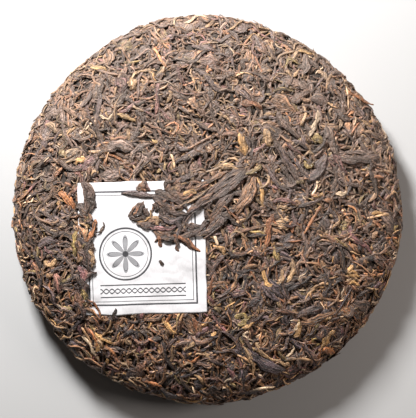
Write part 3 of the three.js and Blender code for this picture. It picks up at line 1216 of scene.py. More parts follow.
# The small leaves over the ticket's edges, and those that run round the rim.
COVER_KIND = LeafKind(
    "edge_leaves",
    THREAD_FINISH,
    mix(CHARCOAL=5, SOOT=2, UMBER=4, SLATE=2, BROWN=2, TAN=1, OLIVE=0.5),
    (5 * MM, 12 * MM),
    (1.0 * MM, 2.6 * MM),
    (0.45, 0.8),
    sides=9, rings=12, curl=1.1, kink=0.22, ridge=0.2,
)
RIM_KIND = LeafKind(
    "rim_threads",
    THREAD_FINISH,
    mix(CHARCOAL=2, UMBER=2, BROWN=2, ASH=2, TAN=3, STRAW=2, RUSSET=1, GOLD=1),
    (4 * MM, 13 * MM),
    (0.7 * MM, 1.8 * MM),
    (0.6, 0.9),
    sides=6, rings=10, curl=0.8, kink=0.2, ridge=0.15, lift=1.8 * MM,
)


@dataclass
class LeafScatter:
    """Draws the scattered leaves of a chart.

    Near the rim most leaves run round it; elsewhere neighbours share a slowly turning heading, more or less.
    """

    chart: Chart
    side: Side
    seed: int
    swirl_length: float = 45 * MM
    swirl_turn: float = 1.8 * math.pi
    stray: float = 0.75
    rim_stray: float = 0.55
    rim_start: float = 0.84  # as a share of the chart's radius
    rim_zone: float = 0.1
    rim_share: float = 0.75
    past_rim: float = 2 * MM
    jitter: float = 0.4
    blend: float = 0.35
    contrast: float = 0.34
    fringe_depth: float = 7 * MM
    fringe_stray: float = 0.6
    small_bias: float = 1.5  # above 1, short leaves are commoner than long ones
    swing_turns: tuple[float, float] = (3, 9)
    round_roll: float = 0.35
    lift_bias: int = 3
    rng: np.random.Generator = field(init=False)
    swirl: Ripples = field(init=False)

    def __post_init__(self) -> None:
        """Sets up the draws and the field of headings that neighbours share."""
        self.rng = np.random.default_rng(self.seed)
        self.swirl = Ripples(self.seed + 1, self.swirl_length)

    def centres(self, count: int) -> np.ndarray:
        """Places spread evenly over the chart by the golden angle, each moved a little.

        Args:
            count: how many places.

        Returns:
            The places, two numbers in metres each.
        """
        index = np.arange(count) + self.rng.uniform(0, 1)
        reach = self.chart.rim + self.past_rim
        turn = index * math.pi * GOLDEN_ANGLE + self.rng.uniform(0, 2 * math.pi)
        places = polar(reach * np.sqrt(index / count), turn)
        step = reach * math.sqrt(math.pi / count)
        return places + self.rng.normal(0, self.jitter * step, places.shape)

    def tints(self, kind: LeafKind, count: int) -> np.ndarray:
        """Each leaf's colour: one of the kind's shades, drawn to another and lightened or darkened.

        Args:
            kind: the kind of leaf.
            count: how many leaves.

        Returns:
            The leaves' red, green and blue, linear.
        """
        shades = np.array([shade.linear() for shade in kind.shades])
        weights = np.array(list(kind.shades.values()), float)
        pick = self.rng.choice(len(shades), (2, count), p=weights / weights.sum())
        share = self.rng.uniform(0, self.blend, (count, 1))
        level = TINT_LEVEL * np.exp(self.rng.normal(0, self.contrast, (count, 1)))
        return (shades[pick[0]] * (1 - share) + shades[pick[1]] * share) * level

    def draw(self, kind: LeafKind) -> LeafBatch:
        """Draws all leaves of a kind, spread over the whole chart.

        Args:
            kind: the kind of leaf.

        Returns:
            The batch, not settled yet.
        """
        rng = self.rng
        centre = self.centres(kind.counts[self.side.index])
        out, count = np.hypot(centre[:, 0], centre[:, 1]), len(centre)
        radial = np.arctan2(centre[:, 1], centre[:, 0])
        free = self.swirl_turn * self.swirl(centre) / 2 + rng.normal(0, self.stray, count) * kind.spread
        at_rim = radial + math.pi / 2 + rng.normal(0, self.rim_stray, count)
        rimward = np.clip((out / self.chart.rim - self.rim_start) / self.rim_zone, 0, 1)
        heading = np.where(rng.uniform(0, 1, count) < self.rim_share * rimward, at_rim, free)
        return self.leaves(kind, centre, heading)

    def cover(self, kind: LeafKind, patches: tuple[Patch, ...], gaps: tuple) -> LeafBatch:
        """Draws the leaves of some patches.

        Args:
            kind: the kind of leaf.
            patches: the patches.
            gaps: circles, in millimetres, that no leaf's middle lies in.

        Returns:
            The batch, not settled yet.
        """
        rng = self.rng
        centres, headings = [], []
        for patch in patches:
            out = np.sqrt(rng.uniform(0, 1, patch.count))
            ellipse = polar(out, rng.uniform(0, 2 * math.pi, patch.count)) * np.array(patch.radii)
            centres.append((ellipse + patch.centre) * MM)
            headings.append(patch.heading + rng.normal(0, patch.spread, patch.count))
        centre, heading = np.concatenate(centres), np.concatenate(headings)
        kept = np.ones(len(centre), bool)
        for middle, radius in gaps:
            kept &= np.linalg.norm(centre - np.array(middle) * MM, axis=1) > radius * MM
        return self.leaves(kind, self.chart.from_plan(centre[kept]), heading[kept])

    def fringe(self, kind: LeafKind, count: int) -> LeafBatch:
        """Draws leaves that run round the rim, just above the disc's widest place.

        Args:
            kind: the kind of leaf.
            count: how many.

        Returns:
            The batch, not settled yet.
        """
        rng = self.rng
        turn = (np.arange(count) + rng.uniform(-self.jitter, self.jitter, count)) * 2 * math.pi / count
        centre = polar(self.chart.rim - rng.uniform(0, self.fringe_depth, count), turn)
        return self.leaves(kind, centre, turn + math.pi / 2 + rng.normal(0, self.fringe_stray, count))

    def leaves(self, kind: LeafKind, centre: np.ndarray, heading: np.ndarray) -> LeafBatch:
        """Draws leaves of a kind at given places.

        A leaf's middle line turns at an even rate, its bend, swings to and fro about that, its curl, and
        strays by a random walk, its kinks.

        Args:
            kind: the kind.
            centre: (n, 2) middles of the leaves, on the chart.
            heading: their headings.

        Returns:
            The batch, not settled yet.
        """
        rng = self.rng
        count = len(centre)
        shortest, longest = kind.length
        length = shortest + (longest - shortest) * rng.uniform(0, 1, count) ** self.small_bias
        share = ring_shares(kind.rings)[None]
        bend = rng.normal(0, kind.bend / MM, (count, 1)) * length[:, None] * (share - 0.5)
        swing = rng.uniform(*self.swing_turns, (count, 1)) * share + rng.uniform(0, 2 * math.pi, (count, 1))
        kinks = np.cumsum(rng.normal(0, kind.kink, swing.shape), 1)
        angle = heading[:, None] + bend + kinks + rng.normal(0, kind.curl, (count, 1)) * np.sin(swing)
        middle = (angle[:, 1:] + angle[:, :-1]) / 2
        step = np.diff(share) * length[:, None]
        moves = polar(step, middle)
        line = np.concatenate([np.zeros((count, 1, 2)), np.cumsum(moves, 1)], 1)
        paths = line - line.mean(1, keepdims=True) + centre[:, None]
        width = rng.uniform(*kind.width, count)
        return LeafBatch(
            kind=kind,
            paths=paths,
            width=width,
            thickness=width * rng.uniform(*kind.flatness, count),
            roll=rng.uniform(-kind.roll, kind.roll, count) * (self.round_roll if kind.cup == 0 else 1),
            tint=self.tints(kind, count),
            rank=kind.layer + rng.uniform(0, 1, count),
            seed=rng.uniform(0, 1, count),
            lift=kind.lift * rng.uniform(0, 1, count) ** self.lift_bias if kind.lift else np.zeros(count),
        )


@dataclass(frozen=True)
class Placed:
    """One listed leaf on the face, by three points in millimetres from the cake's middle."""

    shade: Shade
    points: np.ndarray
    width: float
    flatness: float
    lift: float

    PLAIN: ClassVar = (0.55, 0.0, 1)  # the flatness, the lift and the number of folds that rows leave out
    SPREAD: ClassVar = (0.6, 1, 0.7)  # how far the folds stand apart at each of the three points
    OVERLAP: ClassVar = 1.3
    COORDINATES: ClassVar = 6  # of the three points, in a row

    def folded(self, folds: int) -> list[Placed]:
        """The leaf as it dries, folded along its length: narrow ones side by side.

        Args:
            folds: how many narrow ones.

        Returns:
            The narrow ones.
        """
        start, _, end = self.points
        along = (end - start) / np.linalg.norm(end - start)
        across = np.array([-along[1], along[0]]) * self.width / folds
        spread = np.array(self.SPREAD)[:, None]
        places = np.arange(folds) - (folds - 1) / 2
        width = self.OVERLAP * self.width / folds
        return [replace(self, points=self.points + across * place * spread, width=width) for place in places]


def by_shade(**groups: tuple[tuple[float, ...], ...]) -> tuple[tuple, ...]:
    """Rows that begin with their shade, from rows listed under the shades' names."""
    return tuple((Shade[name], *row) for name, rows in groups.items() for row in rows)


def laid(rows: tuple[tuple, ...]) -> list[Placed]:
    """Reads listed leaves from rows, which leave out their last numbers where those are plain.

    Args:
        rows: for each leaf its shade, three points, its width, flatness, lift and number of folds.

    Returns:
        The leaves, a folded one as several.
    """
    leaves = []
    for shade, *numbers in rows:
        points, (width, *rest) = numbers[: Placed.COORDINATES], numbers[Placed.COORDINATES :]
        flatness, lift, folds = (*rest, *Placed.PLAIN[len(rest) :])
        leaf = Placed(shade, np.array(points).reshape(3, 2), width, flatness, lift)
        leaves.extend(leaf.folded(folds) if folds > 1 else [leaf])
    return leaves


LONG_LEAVES = by_shade(
    SOOT=(
        (37, 24.6, 41.2, 15.4, 46.6, 9, 2.6, 0.5),
    ),
    CHARCOAL=(
        (52, 56, 57.4, 56, 62, 53, 5.6, 0.4), (34.9, 50.3, 40, 42, 47.5, 35.2, 4.2),
        (66, 26.6, 77, 25.2, 90, 27, 4.6), (34.6, 36, 37.6, 27.4, 44, 18.6, 3.4, 0.5),
        (38.2, 30, 42.4, 19.6, 50.2, 9.4, 3, 0.5), (44.3, -56, 52, -51.6, 60.4, -51, 4.2),
        (37.2, -31.6, 38.2, -41, 45, -47.4, 3.2), (57.6, -13.2, 53, -17.8, 57, -22.8, 2.4),
    ),
    SLATE=(
        (41, 30.6, 46.8, 20.4, 53, 12.6, 2.6, 0.5), (35.8, 33, 40.4, 24.6, 46.4, 17.6, 1.8, 0.6),
        (51.1, 14.7, 57, 20, 60, 29.4, 5.4), (28.6, -37, 33, -41, 38.2, -46.2, 8, 0.55, 0, 5),
        (18.6, -69.5, 28, -79, 42, -82.4, 5.4),
    ),
    UMBER=(
        (42.3, 53.4, 47, 57.8, 53.5, 59.7, 4.2), (58, -13.4, 64, -16.8, 60, -23, 2.4),
    ),
    MAUVE=(
        (62, 36, 66, 25, 71, 17, 3.2), (-45.6, 67.4, -43.6, 63.2, -44.6, 59, 6.6, 0.25),
        (-64.1, -57, -64.5, -61.5, -63.4, -65, 1.9),
    ),
    ASH=(
        (50.6, 80.1, 50.5, 74, 48.5, 68, 4.2, 0.3), (69, 28.6, 78, 28.6, 88, 29.4, 2.2),
        (60.2, 43, 63.5, 33, 66, 26, 3.4), (-51.6, 30, -44.5, 32.4, -36.4, 29.4, 6.4, 0.3),
        (-37.7, 21.8, -36.6, 29.6, -27.2, 32.4, 2.8), (-82, 46, -78.5, 49.4, -74.6, 48.2, 6.4, 0.25),
        (-75.8, -51.9, -69.6, -51, -65.2, -56.8, 1.8, 0.6),
    ),
    BROWN=(
        (32.3, 56.2, 38, 54, 45.4, 48.2, 6.8, 0.25), (46.8, -58, 56, -56.4, 66.2, -51.8, 4.2, 0.4),
        (-51.4, 82.4, -50.2, 77.2, -50.8, 72.2, 4.8, 0.35),
    ),
)

PALE_LEAVES = by_shade(
    OLIVE=(
        (47.5, 73.5, 42, 76.5, 39.5, 71.5, 1.8), (48.6, 25.5, 51, 21.4, 55.2, 24.4, 1.8),
        (13.4, -55.6, 17.2, -53.8, 20.6, -56.6, 2.8, 0.45),
        (15.2, -58.8, 18.4, -57.6, 22.6, -53.8, 3, 0.4),
        (-66.4, -10.6, -66.9, -18, -67.4, -26.2, 2.6, 0.5),
        (53, 36.6, 55.6, 35.6, 58.8, 33.2, 4.4, 0.25),
        (-72.8, -49.6, -67.3, -49, -68.6, -42.9, 1.9, 0.6),
    ),
    RUSSET=(
        (16.1, 53.4, 22, 53.5, 28, 50.4, 3), (-8.1, -54.4, -6, -58, -5.8, -62.4, 2, 0.5),
        (33.6, -1.9, 31.2, -9.1, 29.3, -19.9, 3, 0.35),
    ),
    TAN=(
        (39.5, 72, 43.5, 68, 47.5, 72.5, 1.8), (31.3, 40.2, 30.2, 36, 31.8, 31, 4.8, 0.35),
        (48.6, 26.5, 52.2, 28.6, 55.4, 25.2, 1.6), (24, -66.6, 28.6, -74.2, 39.6, -78, 1.9, 0.6),
        (36.6, -77.6, 39.4, -79.4, 42.6, -79.8, 2.6), (42.9, -24.6, 43, -31, 40.2, -38, 2.6),
        (34, -37.6, 37.4, -35.8, 36.9, -29.8, 2.2), (17, -69.5, 22, -76, 23.6, -87, 2, 0.6),
        (-40, 65.8, -37.8, 63.2, -37.4, 59.6, 5.4, 0.3), (-38.6, 65.6, -33.4, 70.2, -25.2, 69.4, 1.6),
        (70.2, -36.8, 74, -35.2, 78, -37.6, 1.7, 0.7),
        (-54.9, -78.4, -48.4, -84.6, -37.2, -88.6, 1.4, 0.7),
        (-36.3, -88.6, -35.4, -92, -31.4, -92.6, 1.4, 0.7, 2), (3, 21, 10, 21.4, 18.1, 17.5, 2.8, 0.4),
        (11.3, -12.3, 16.4, -12.1, 21.4, -16.6, 1.3, 0.7),
    ),
    AMBER=(
        (71, 61.2, 78, 57.2, 84, 52.6, 1.9, 0.8, 3.2), (58.6, -75.4, 61.5, -72, 64.2, -75.6, 4.2, 0.5),
        (-52, 28.2, -45.6, 25.8, -38, 21, 1.3), (-75.8, 8.8, -71, 5.4, -67.2, -1.4, 3.6, 0.4),
        (58.9, -70.4, 57, -74.6, 58.4, -78.6, 1.5, 0.7),
        (-57.6, -63.8, -56.2, -66.6, -56, -70.1, 1.2, 0.7),
        (-32.2, -87.6, -27.4, -88.4, -23.1, -91.4, 2, 0.6),
        (-10.5, -76.3, -6.4, -76.9, -4.2, -72.7, 1.3, 0.7),
    ),
    GOLD=(
        (17.4, -61.2, 20.2, -59.4, 24.2, -57.4, 2, 0.5), (17.2, 38.8, 17.6, 32, 19.4, 26.4, 4, 0.35),
        (65.2, -61.4, 60.6, -66.2, 58.2, -72.6, 2.8, 0.6),
        (69.6, -32.6, 73.2, -31.8, 76.8, -33.6, 1.7, 0.7),
        (69.4, -34.8, 73.6, -33.4, 77.8, -35.4, 1.6, 0.7),
        (71.4, -38.6, 74.6, -37.2, 77.4, -39.8, 1.5, 0.7), (28, -29.8, 29.6, -37.4, 34, -37.6, 2.2),
        (-67.2, 22.6, -64.6, 25, -61.4, 24, 3.2, 0.35), (47.6, -58.2, 46, -62, 43.8, -66, 3, 0.4),
        (-58.3, -61.7, -53, -65.3, -47.4, -68.7, 1.9, 0.7),
        (-22.6, -54.4, -19.6, -59.8, -12.1, -63.8, 2, 0.5),
        (25.4, 16.4, 27.2, 8.6, 28.2, -0.8, 1.8, 0.5),
    ),
    STRAW=(
        (22.4, -61.8, 18.6, -64.2, 24, -67.2, 1.3, 0.8),
        (40, -75.6, 43.4, -72.4, 45.4, -68.2, 1.3, 0.8), (55.9, 51.2, 55, 43, 50.8, 36.4, 2.5, 0.45),
        (64.2, 7.4, 67.6, 7.6, 71, 8.5, 2.6), (47.4, -58, 45.2, -60, 43, -62.6, 1.4, 0.6),
        (-55.4, 48.8, -51.2, 45.6, -46.8, 49.4, 1.2), (-63.8, -63.6, -58, -71, -54.7, -79, 1.8, 0.7),
        (11.3, 6, 13, 4.4, 14.9, 2.4, 1, 0.8),
    ),
)

# From the lowest to the one on top.
OVER_TICKET = (
    (Shade.BROWN, 23, 17, 20.6, 8.2, 13.4, -2.4, 5.8, 0.55, 0, 3),
    (Shade.CHARCOAL, 13, 8, 7.6, 3.4, 3.4, -5.2, 5, 0.55, 0, 3),
    (Shade.CHARCOAL, 20.4, 19.4, 9.6, 12.6, -3.6, 1.6, 7.2, 0.55, 0, 6),
    (Shade.OLIVE, 27.6, 21.6, 23.6, 19.6, 18.6, 16.8, 2.4, 0.4),
    (Shade.CHARCOAL, 6.4, 6.2, -4.8, 0.6, -14.4, -10.4, 1.9, 0.6),
    (Shade.SLATE, 4.4, 6.6, -6.2, 0.8, -13.6, -7.6, 1.6, 0.6),
    (Shade.UMBER, 3.4, 9, -3.4, 3.8, -10.8, -1.4, 2.4, 0.4),
    (Shade.UMBER, 9.8, 3.6, 5.2, -1.4, 1.4, -8.4, 4, 0.25),
    (Shade.CHARCOAL, 13.6, 0.4, 5, -7, -2.8, -14.8, 4.2, 0.55, 0, 3),
    (Shade.CHARCOAL, 9, -6.4, -0.6, -11.4, -9.4, -14.6, 1.8, 0.5),
    (Shade.TAN, 8.2, 17.6, -3, 12, -12, 4.6, 1.8, 0.5), (Shade.BROWN, 11, 19, 2, 15.2, -8, 9.2, 2.2, 0.45),
    (Shade.SLATE, -44.2, 7.2, -32, 7.4, -16.4, 3, 2.6, 0.6),
    (Shade.CHARCOAL, -27, 8.4, -18.4, 6.2, -9.8, -0.6, 3.6),
    (Shade.UMBER, -22, 10.2, -12, 6.4, -3.6, 7.2, 2.6, 0.4),
    (Shade.RUSSET, -13.6, 3.8, -6.6, 8.6, 0.4, 13.2, 1.5),
    (Shade.TAN, -14.4, 1.2, -6.8, 5.2, 1.8, 10.8, 1.4),
    (Shade.GOLD, -12.8, 7.2, -9.2, 8.6, -5.4, 8.2, 2.4, 0.4),
    (Shade.UMBER, -36.2, 9.8, -33.6, 10.6, -29.6, 8.8, 2.8, 0.35),
    (Shade.BROWN, -32.4, 14, -33.8, 11.6, -34.6, 9.2, 1.9, 0.5),
    (Shade.MAUVE, -32.6, 14.2, -30.8, 11.8, -29.2, 8.4, 1.7, 0.5),
    (Shade.RUSSET, -32.4, 12.6, -32.4, 10.6, -31.8, 8.6, 1.6, 0.5),
    (Shade.SOOT, -40, -3.8, -36, -4.6, -30.4, -4.6, 2.6, 0.5),
    (Shade.SOOT, -33, 2.6, -35, -0.8, -38, -3.8, 4.6, 0.3),
    (Shade.UMBER, -32.2, 4.2, -36.2, 0.8, -40.4, -3.8, 1.7, 0.6),
    (Shade.CHARCOAL, -31.8, 0.8, -31, -1.8, -32.4, -4.6, 2.6, 0.45),
    (Shade.CHARCOAL, -32.8, 3.2, -33.2, -0.2, -35.6, -3.6, 1.5, 0.8),
    (Shade.RUSSET, -33.4, 2.2, -35.8, -0.6, -37.2, -3.4, 1.1, 0.6),
    (Shade.GOLD, -29.2, 0, -29.8, -5, -37.4, -5.9, 1.3, 0.6),
    (Shade.CHARCOAL, -28, 5.6, -22.6, 0, -23.6, -7.8, 3.2),
    (Shade.UMBER, -25.4, 3.6, -18.2, -0.8, -17.6, -9.4, 3),
    (Shade.SLATE, -24.6, -3, -19.2, -5.6, -11.6, -4.2, 3.2),
    (Shade.CHARCOAL, -22.4, 2.6, -15.8, -2.4, -8.6, -1.4, 2.6),
    (Shade.CHARCOAL, -36.2, -7.4, -30.6, -8.2, -25.6, -11.2, 3),
    (Shade.UMBER, -27.4, -10.6, -21, -13.6, -13.2, -15.6, 3.4),
    (Shade.MAUVE, -29.2, -8.8, -22, -10.2, -14, -8.2, 2),
    (Shade.CHARCOAL, -24.4, -13.6, -13.4, -14.4, 0.8, -6.6, 3),
    (Shade.RUSSET, -17.2, -12.6, -10.4, -16.6, -3.4, -21.8, 2.8, 0.5),
    (Shade.UMBER, -15, -13.2, -15.6, -17.4, -14.6, -21.6, 1.8, 0.7),
    (Shade.RUSSET, -24, -13, -24.4, -16.2, -22.9, -19.4, 1.7, 0.7),
    (Shade.SLATE, -16.6, -5.6, -14, -9.8, -15.8, -14, 2.2),
    (Shade.CHARCOAL, -12.6, -6, -8.4, -10.4, -9.6, -15.2, 1.9),
    (Shade.CHARCOAL, -65.6, 2.8, -63.2, -0.4, -59.8, -3.6, 4.2, 0.35),
    (Shade.CHARCOAL, -63.4, 13.8, -59.4, 6.6, -61.4, -2.8, 5.4, 0.55, 0, 3),
    (Shade.RUSSET, -66.6, -4.6, -63.6, -3, -61, -5.4, 1.6, 0.6),
    (Shade.AMBER, -55.9, -5.2, -57.8, -10.6, -60.6, -17, 2, 0.7),
    (Shade.SOOT, -52.9, -6.2, -53.2, -10.4, -58, -11.8, 1.1, 0.9),
    (Shade.BROWN, -66, -8.2, -63.4, -11.4, -61, -16.8, 2.6, 0.5),
    (Shade.TAN, -64.6, -6.8, -61, -9.6, -61.8, -14.4, 1.5, 0.7),
    (Shade.BROWN, -65.6, -15.4, -64.2, -19.8, -64.8, -25.6, 3.2, 0.45),
    (Shade.CHARCOAL, -64.8, -20.6, -60.4, -25.2, -60, -32, 4.4, 0.5),
    (Shade.TAN, -60.4, -19.8, -57.6, -25.4, -58.4, -30.2, 2, 0.6),
    (Shade.MAUVE, -65.2, -28.4, -62.4, -33.2, -63.8, -38.6, 4, 0.45),
    (Shade.CHARCOAL, -66, -33, -62.4, -38.2, -61.8, -44.6, 4, 0.5),
    (Shade.OLIVE, -63.8, -39.6, -61.4, -43.4, -62.4, -48.4, 2.4, 0.5),
    (Shade.UMBER, -66.6, -42, -64.2, -47, -64.8, -53.4, 3.2, 0.45),
    (Shade.CHARCOAL, -65, -47.6, -62.6, -51.6, -63.4, -56.6, 2.2),
    (Shade.RUSSET, -64.4, -46.8, -58.2, -47, -53, -55.6, 1.3, 0.9),
    (Shade.BROWN, -63.4, -50.4, -57, -51.8, -54.6, -57.4, 1.2, 0.9),
    (Shade.SOOT, -45.8, -50, -47, -52.4, -47.6, -56, 1.3, 0.8),
    (Shade.SOOT, -24.4, -26.4, -23.2, -27, -22.4, -28.4, 1.5, 0.8),
    (Shade.SOOT, 6.6, -1.8, 11.2, -4.6, 16.8, -9.4, 2.4, 0.4),
    (Shade.RUSSET, 7, 1.4, 12.8, -2.8, 17.8, -9.4, 1.3, 0.6),
)


@dataclass
class HandLaid:
    """Turns placed leaves, from the lowest to the one on top, into a batch.

    A middle line has a slow and a quick wave, each with its least and greatest rate and its size.
    """

    name: str
    leaves: list[Placed]
    finish: LeafFinish
    seed: int
    rings: int = 18
    waves: tuple[tuple[float, float, float], ...] = ((6, 11, 0.35 * MM), (16, 26, 0.15 * MM))
    shift: float = 6
    contrast: float = 0.13
    roll: float = 0.25
    rank_step: float = 1e-3
    sides: int = 16
    ridge: float = 0.2
    ridges: int = 5
    twist: float = 2.5

    def path(self, leaf: Placed, rng: np.random.Generator) -> np.ndarray:
        """A leaf's middle line: a parabola through its points, with faint waves.

        Args:
            leaf: the leaf.
            rng: the source of the waves.

        Returns:
            (rings, 2) points in the plan.
        """
        share = ring_shares(self.rings)[:, None]
        start, middle, end = leaf.points * MM
        handle = 2 * middle - (start + end) / 2
        line = (1 - share) ** 2 * start + 2 * share * (1 - share) * handle + share**2 * end
        across = np.array([start[1] - end[1], end[0] - start[0]])
        across /= max(np.linalg.norm(across), TINY)
        for least, most, size in self.waves:
            rate, shift = rng.uniform(least, most), rng.uniform(0, self.shift)
            line = line + across * np.sin(share * rate + shift) * size
        return line

    def batch(self, chart: Chart, rank: float) -> LeafBatch:
        """The leaves as a batch.

        Args:
            chart: the face's chart.
            rank: the rank of the first leaf; the others follow in order.

        Returns:
            The batch, not settled yet.
        """
        rng, count = np.random.default_rng(self.seed), len(self.leaves)
        width, flatness, lift = np.array([(leaf.width, leaf.flatness, leaf.lift) for leaf in self.leaves]).T
        width = width * MM
        level = TINT_LEVEL * np.exp(rng.normal(0, self.contrast, (count, 1)))
        shape = {key: getattr(self, key) for key in ("sides", "rings", "ridge", "ridges", "twist")}
        return LeafBatch(
            kind=LeafKind(self.name, self.finish, **shape),
            paths=chart.from_plan(np.stack([self.path(leaf, rng) for leaf in self.leaves])),
            width=width,
            thickness=width * flatness,
            roll=rng.uniform(-self.roll, self.roll, count),
            tint=np.array([leaf.shade.linear() for leaf in self.leaves]) * level,
            rank=rank + np.arange(count) * self.rank_step,
            seed=rng.uniform(0, 1, count),
            lift=lift * MM,
        )


@dataclass(frozen=True)
class Patch:
    """A patch of small leaves that lie over the ticket's edge: an ellipse in millimetres.

    Its leaves head along the patch's own direction, give or take the spread.
    """

    centre: tuple[float, float]
    radii: tuple[float, float]
    count: int
    heading: float
    spread: float = 0.9


PATCHES = (
    Patch((-9.0, 10.6), (11.5, 6.4), 46, 0.4, 0.8),
    Patch((-21.0, -1.6), (7.6, 8.6), 34, 1.2, 1.2),
    Patch((-15.6, -12.0), (11.0, 3.2), 22, -0.3, 0.4),
    Patch((-3.5, -3.0), (5.5, 9.0), 16, 0.6, 0.5),
    Patch((-61.6, -18.0), (2.8, 22.0), 34, 1.5, 0.8),
    Patch((-64.4, -46.0), (2.6, 9.0), 26, 1.6, 0.5),
)
# Circles that no leaf of the patches has its middle in: where the paper shows, by centre and radius.
GAPS = (
    ((-13.4, -4.1), 3.8),
    ((-2.7, -3.3), 4.2),
    ((-6.0, -6.4), 2.2),
    ((-5.8, -14.8), 3.2),
    ((-24.9, -10.4), 2.4),
)


@dataclass
class LeafPieces:
    """Joins settled batches of one kind into one piece, each leaf with a place of its own on the map."""

    kind: LeafKind
    parts: list[tuple[np.ndarray, ...]] = field(default_factory=list)
    count: int = 0

    GIRTH: ClassVar = 2.2  # of a leaf, as a multiple of its width
    APART: ClassVar = np.array([300, 700])  # how far apart the leaves lie on the map, in millimetres

    def add(self, batch: LeafBatch, points: np.ndarray, outward: bool) -> None:
        """Adds a batch.

        Args:
            batch: the leaves.
            points: their vertices, leaf by leaf.
            outward: True if the chart is seen from outside, False if it is a mirror image.
        """
        leaves, each = points.shape[:2]
        net, where = tube_triangles(batch.kind.rings, batch.kind.sides)
        if not outward:
            net, where = net[:, ::-1], where[:, ::-1]
        start = self.count + np.arange(leaves)[:, None, None] * each
        length = np.linalg.norm(np.diff(batch.paths, axis=1), axis=2).sum(1) / MM
        size = np.stack([batch.width / MM * self.GIRTH, length], 1)[:, None, None]
        share = ring_shares(batch.kind.rings)[where[..., 0]]
        spot = np.stack([where[..., 1] / batch.kind.sides, share], -1)
        uv = spot[None] * size + batch.seed[:, None, None, None] * self.APART
        tint = np.repeat(batch.tint, each, 0)
        triangles = (net[None] + start).reshape(-1, 3)
        self.parts.append((points.reshape(-1, 3), triangles, uv.reshape(-1, 3, 2), tint))
        self.count += leaves * each

    def build(self) -> bpy.types.Object:
        """Makes the piece. No leaf reaches below the surface that the cake lies on.

        Returns:
            The piece.
        """
        points, triangles, uv, tint = (np.concatenate(column) for column in zip(*self.parts))
        points[:, 2] = np.maximum(points[:, 2], 0)
        piece = mesh_piece(self.kind.name, points, triangles, uv, tint)
        piece.data.materials.append(leaf_material(self.kind.finish))
        return piece


@dataclass(frozen=True)
class Ornament:
    """The ticket's print, in millimetres from its middle: places, sizes and half the widths of lines."""

    border: Point = (27.0, 28.5)
    border_line: float = 0.42
    inner_gap: float = 1.7
    inner_line: float = 0.17
    rosette: Point = (-8.5, -3.0)
    rings: tuple[Point, Point] = ((13.0, 0.45), (11.4, 0.16))  # radius and line
    petals: float = 4.0  # as the cosine turns, twice as many petals
    petal_length: float = 9.6
    vein_inset: float = 1.1
    vein_line: float = 0.2
    heart: float = 1.5
    crisp: float = 0.12
    band_level: float = -21.6
    band_end: float = 21.5
    wave_rate: float = 1.1
    wave_size: float = 1.1
    wave_line: float = 0.34
    rule_offset: float = 3.0
    rule_line: float = 0.3

    def border_lines(self, x: Value, y: Value) -> Value:
        """A double line round the paper."""
        edge = (x.size() - self.border[0]).larger(y.size() - self.border[1])
        return edge.size().under(self.border_line) + (edge + self.inner_gap).size().under(self.inner_line)

    def flower(self, x: Value, y: Value) -> tuple[Value, Value]:
        """A rosette in two rings: what is dark, and the grey petals.

        Args:
            x: places across the paper, in millimetres from its middle.
            y: places up the paper, likewise.

        Returns:
            Both, each 1 where it is printed and 0 elsewhere.
        """
        x, y = x - self.rosette[0], y - self.rosette[1]
        radius = x.sheet.maths("SQRT", x * x + y * y)
        swing = x.sheet.maths("COSINE", x.sheet.maths("ARCTAN2", y, x) * self.petals).size()
        rings = [(radius - at).size().under(line) for at, line in self.rings]
        inside = radius - swing * self.petal_length
        veins = (inside + self.vein_inset).size().under(self.vein_line)
        heart = (radius - self.heart).under(0.0, self.crisp)
        return rings[0] + rings[1] + heart + veins, inside.under(0.0, self.crisp)

    def band(self, x: Value, y: Value) -> Value:
        """Two crossed waves between two rules.

        Args:
            x: places across the paper, in millimetres from its middle.
            y: places up the paper, likewise.

        Returns:
            1 where it is printed and 0 elsewhere.
        """
        level = y - self.band_level
        wave = x.sheet.maths("SINE", x * self.wave_rate) * self.wave_size
        waves = (level - wave).size().under(self.wave_line) + (level + wave).size().under(self.wave_line)
        rules = (level.size() - self.rule_offset).size().under(self.rule_line)
        return (waves + rules) * x.size().under(self.band_end)


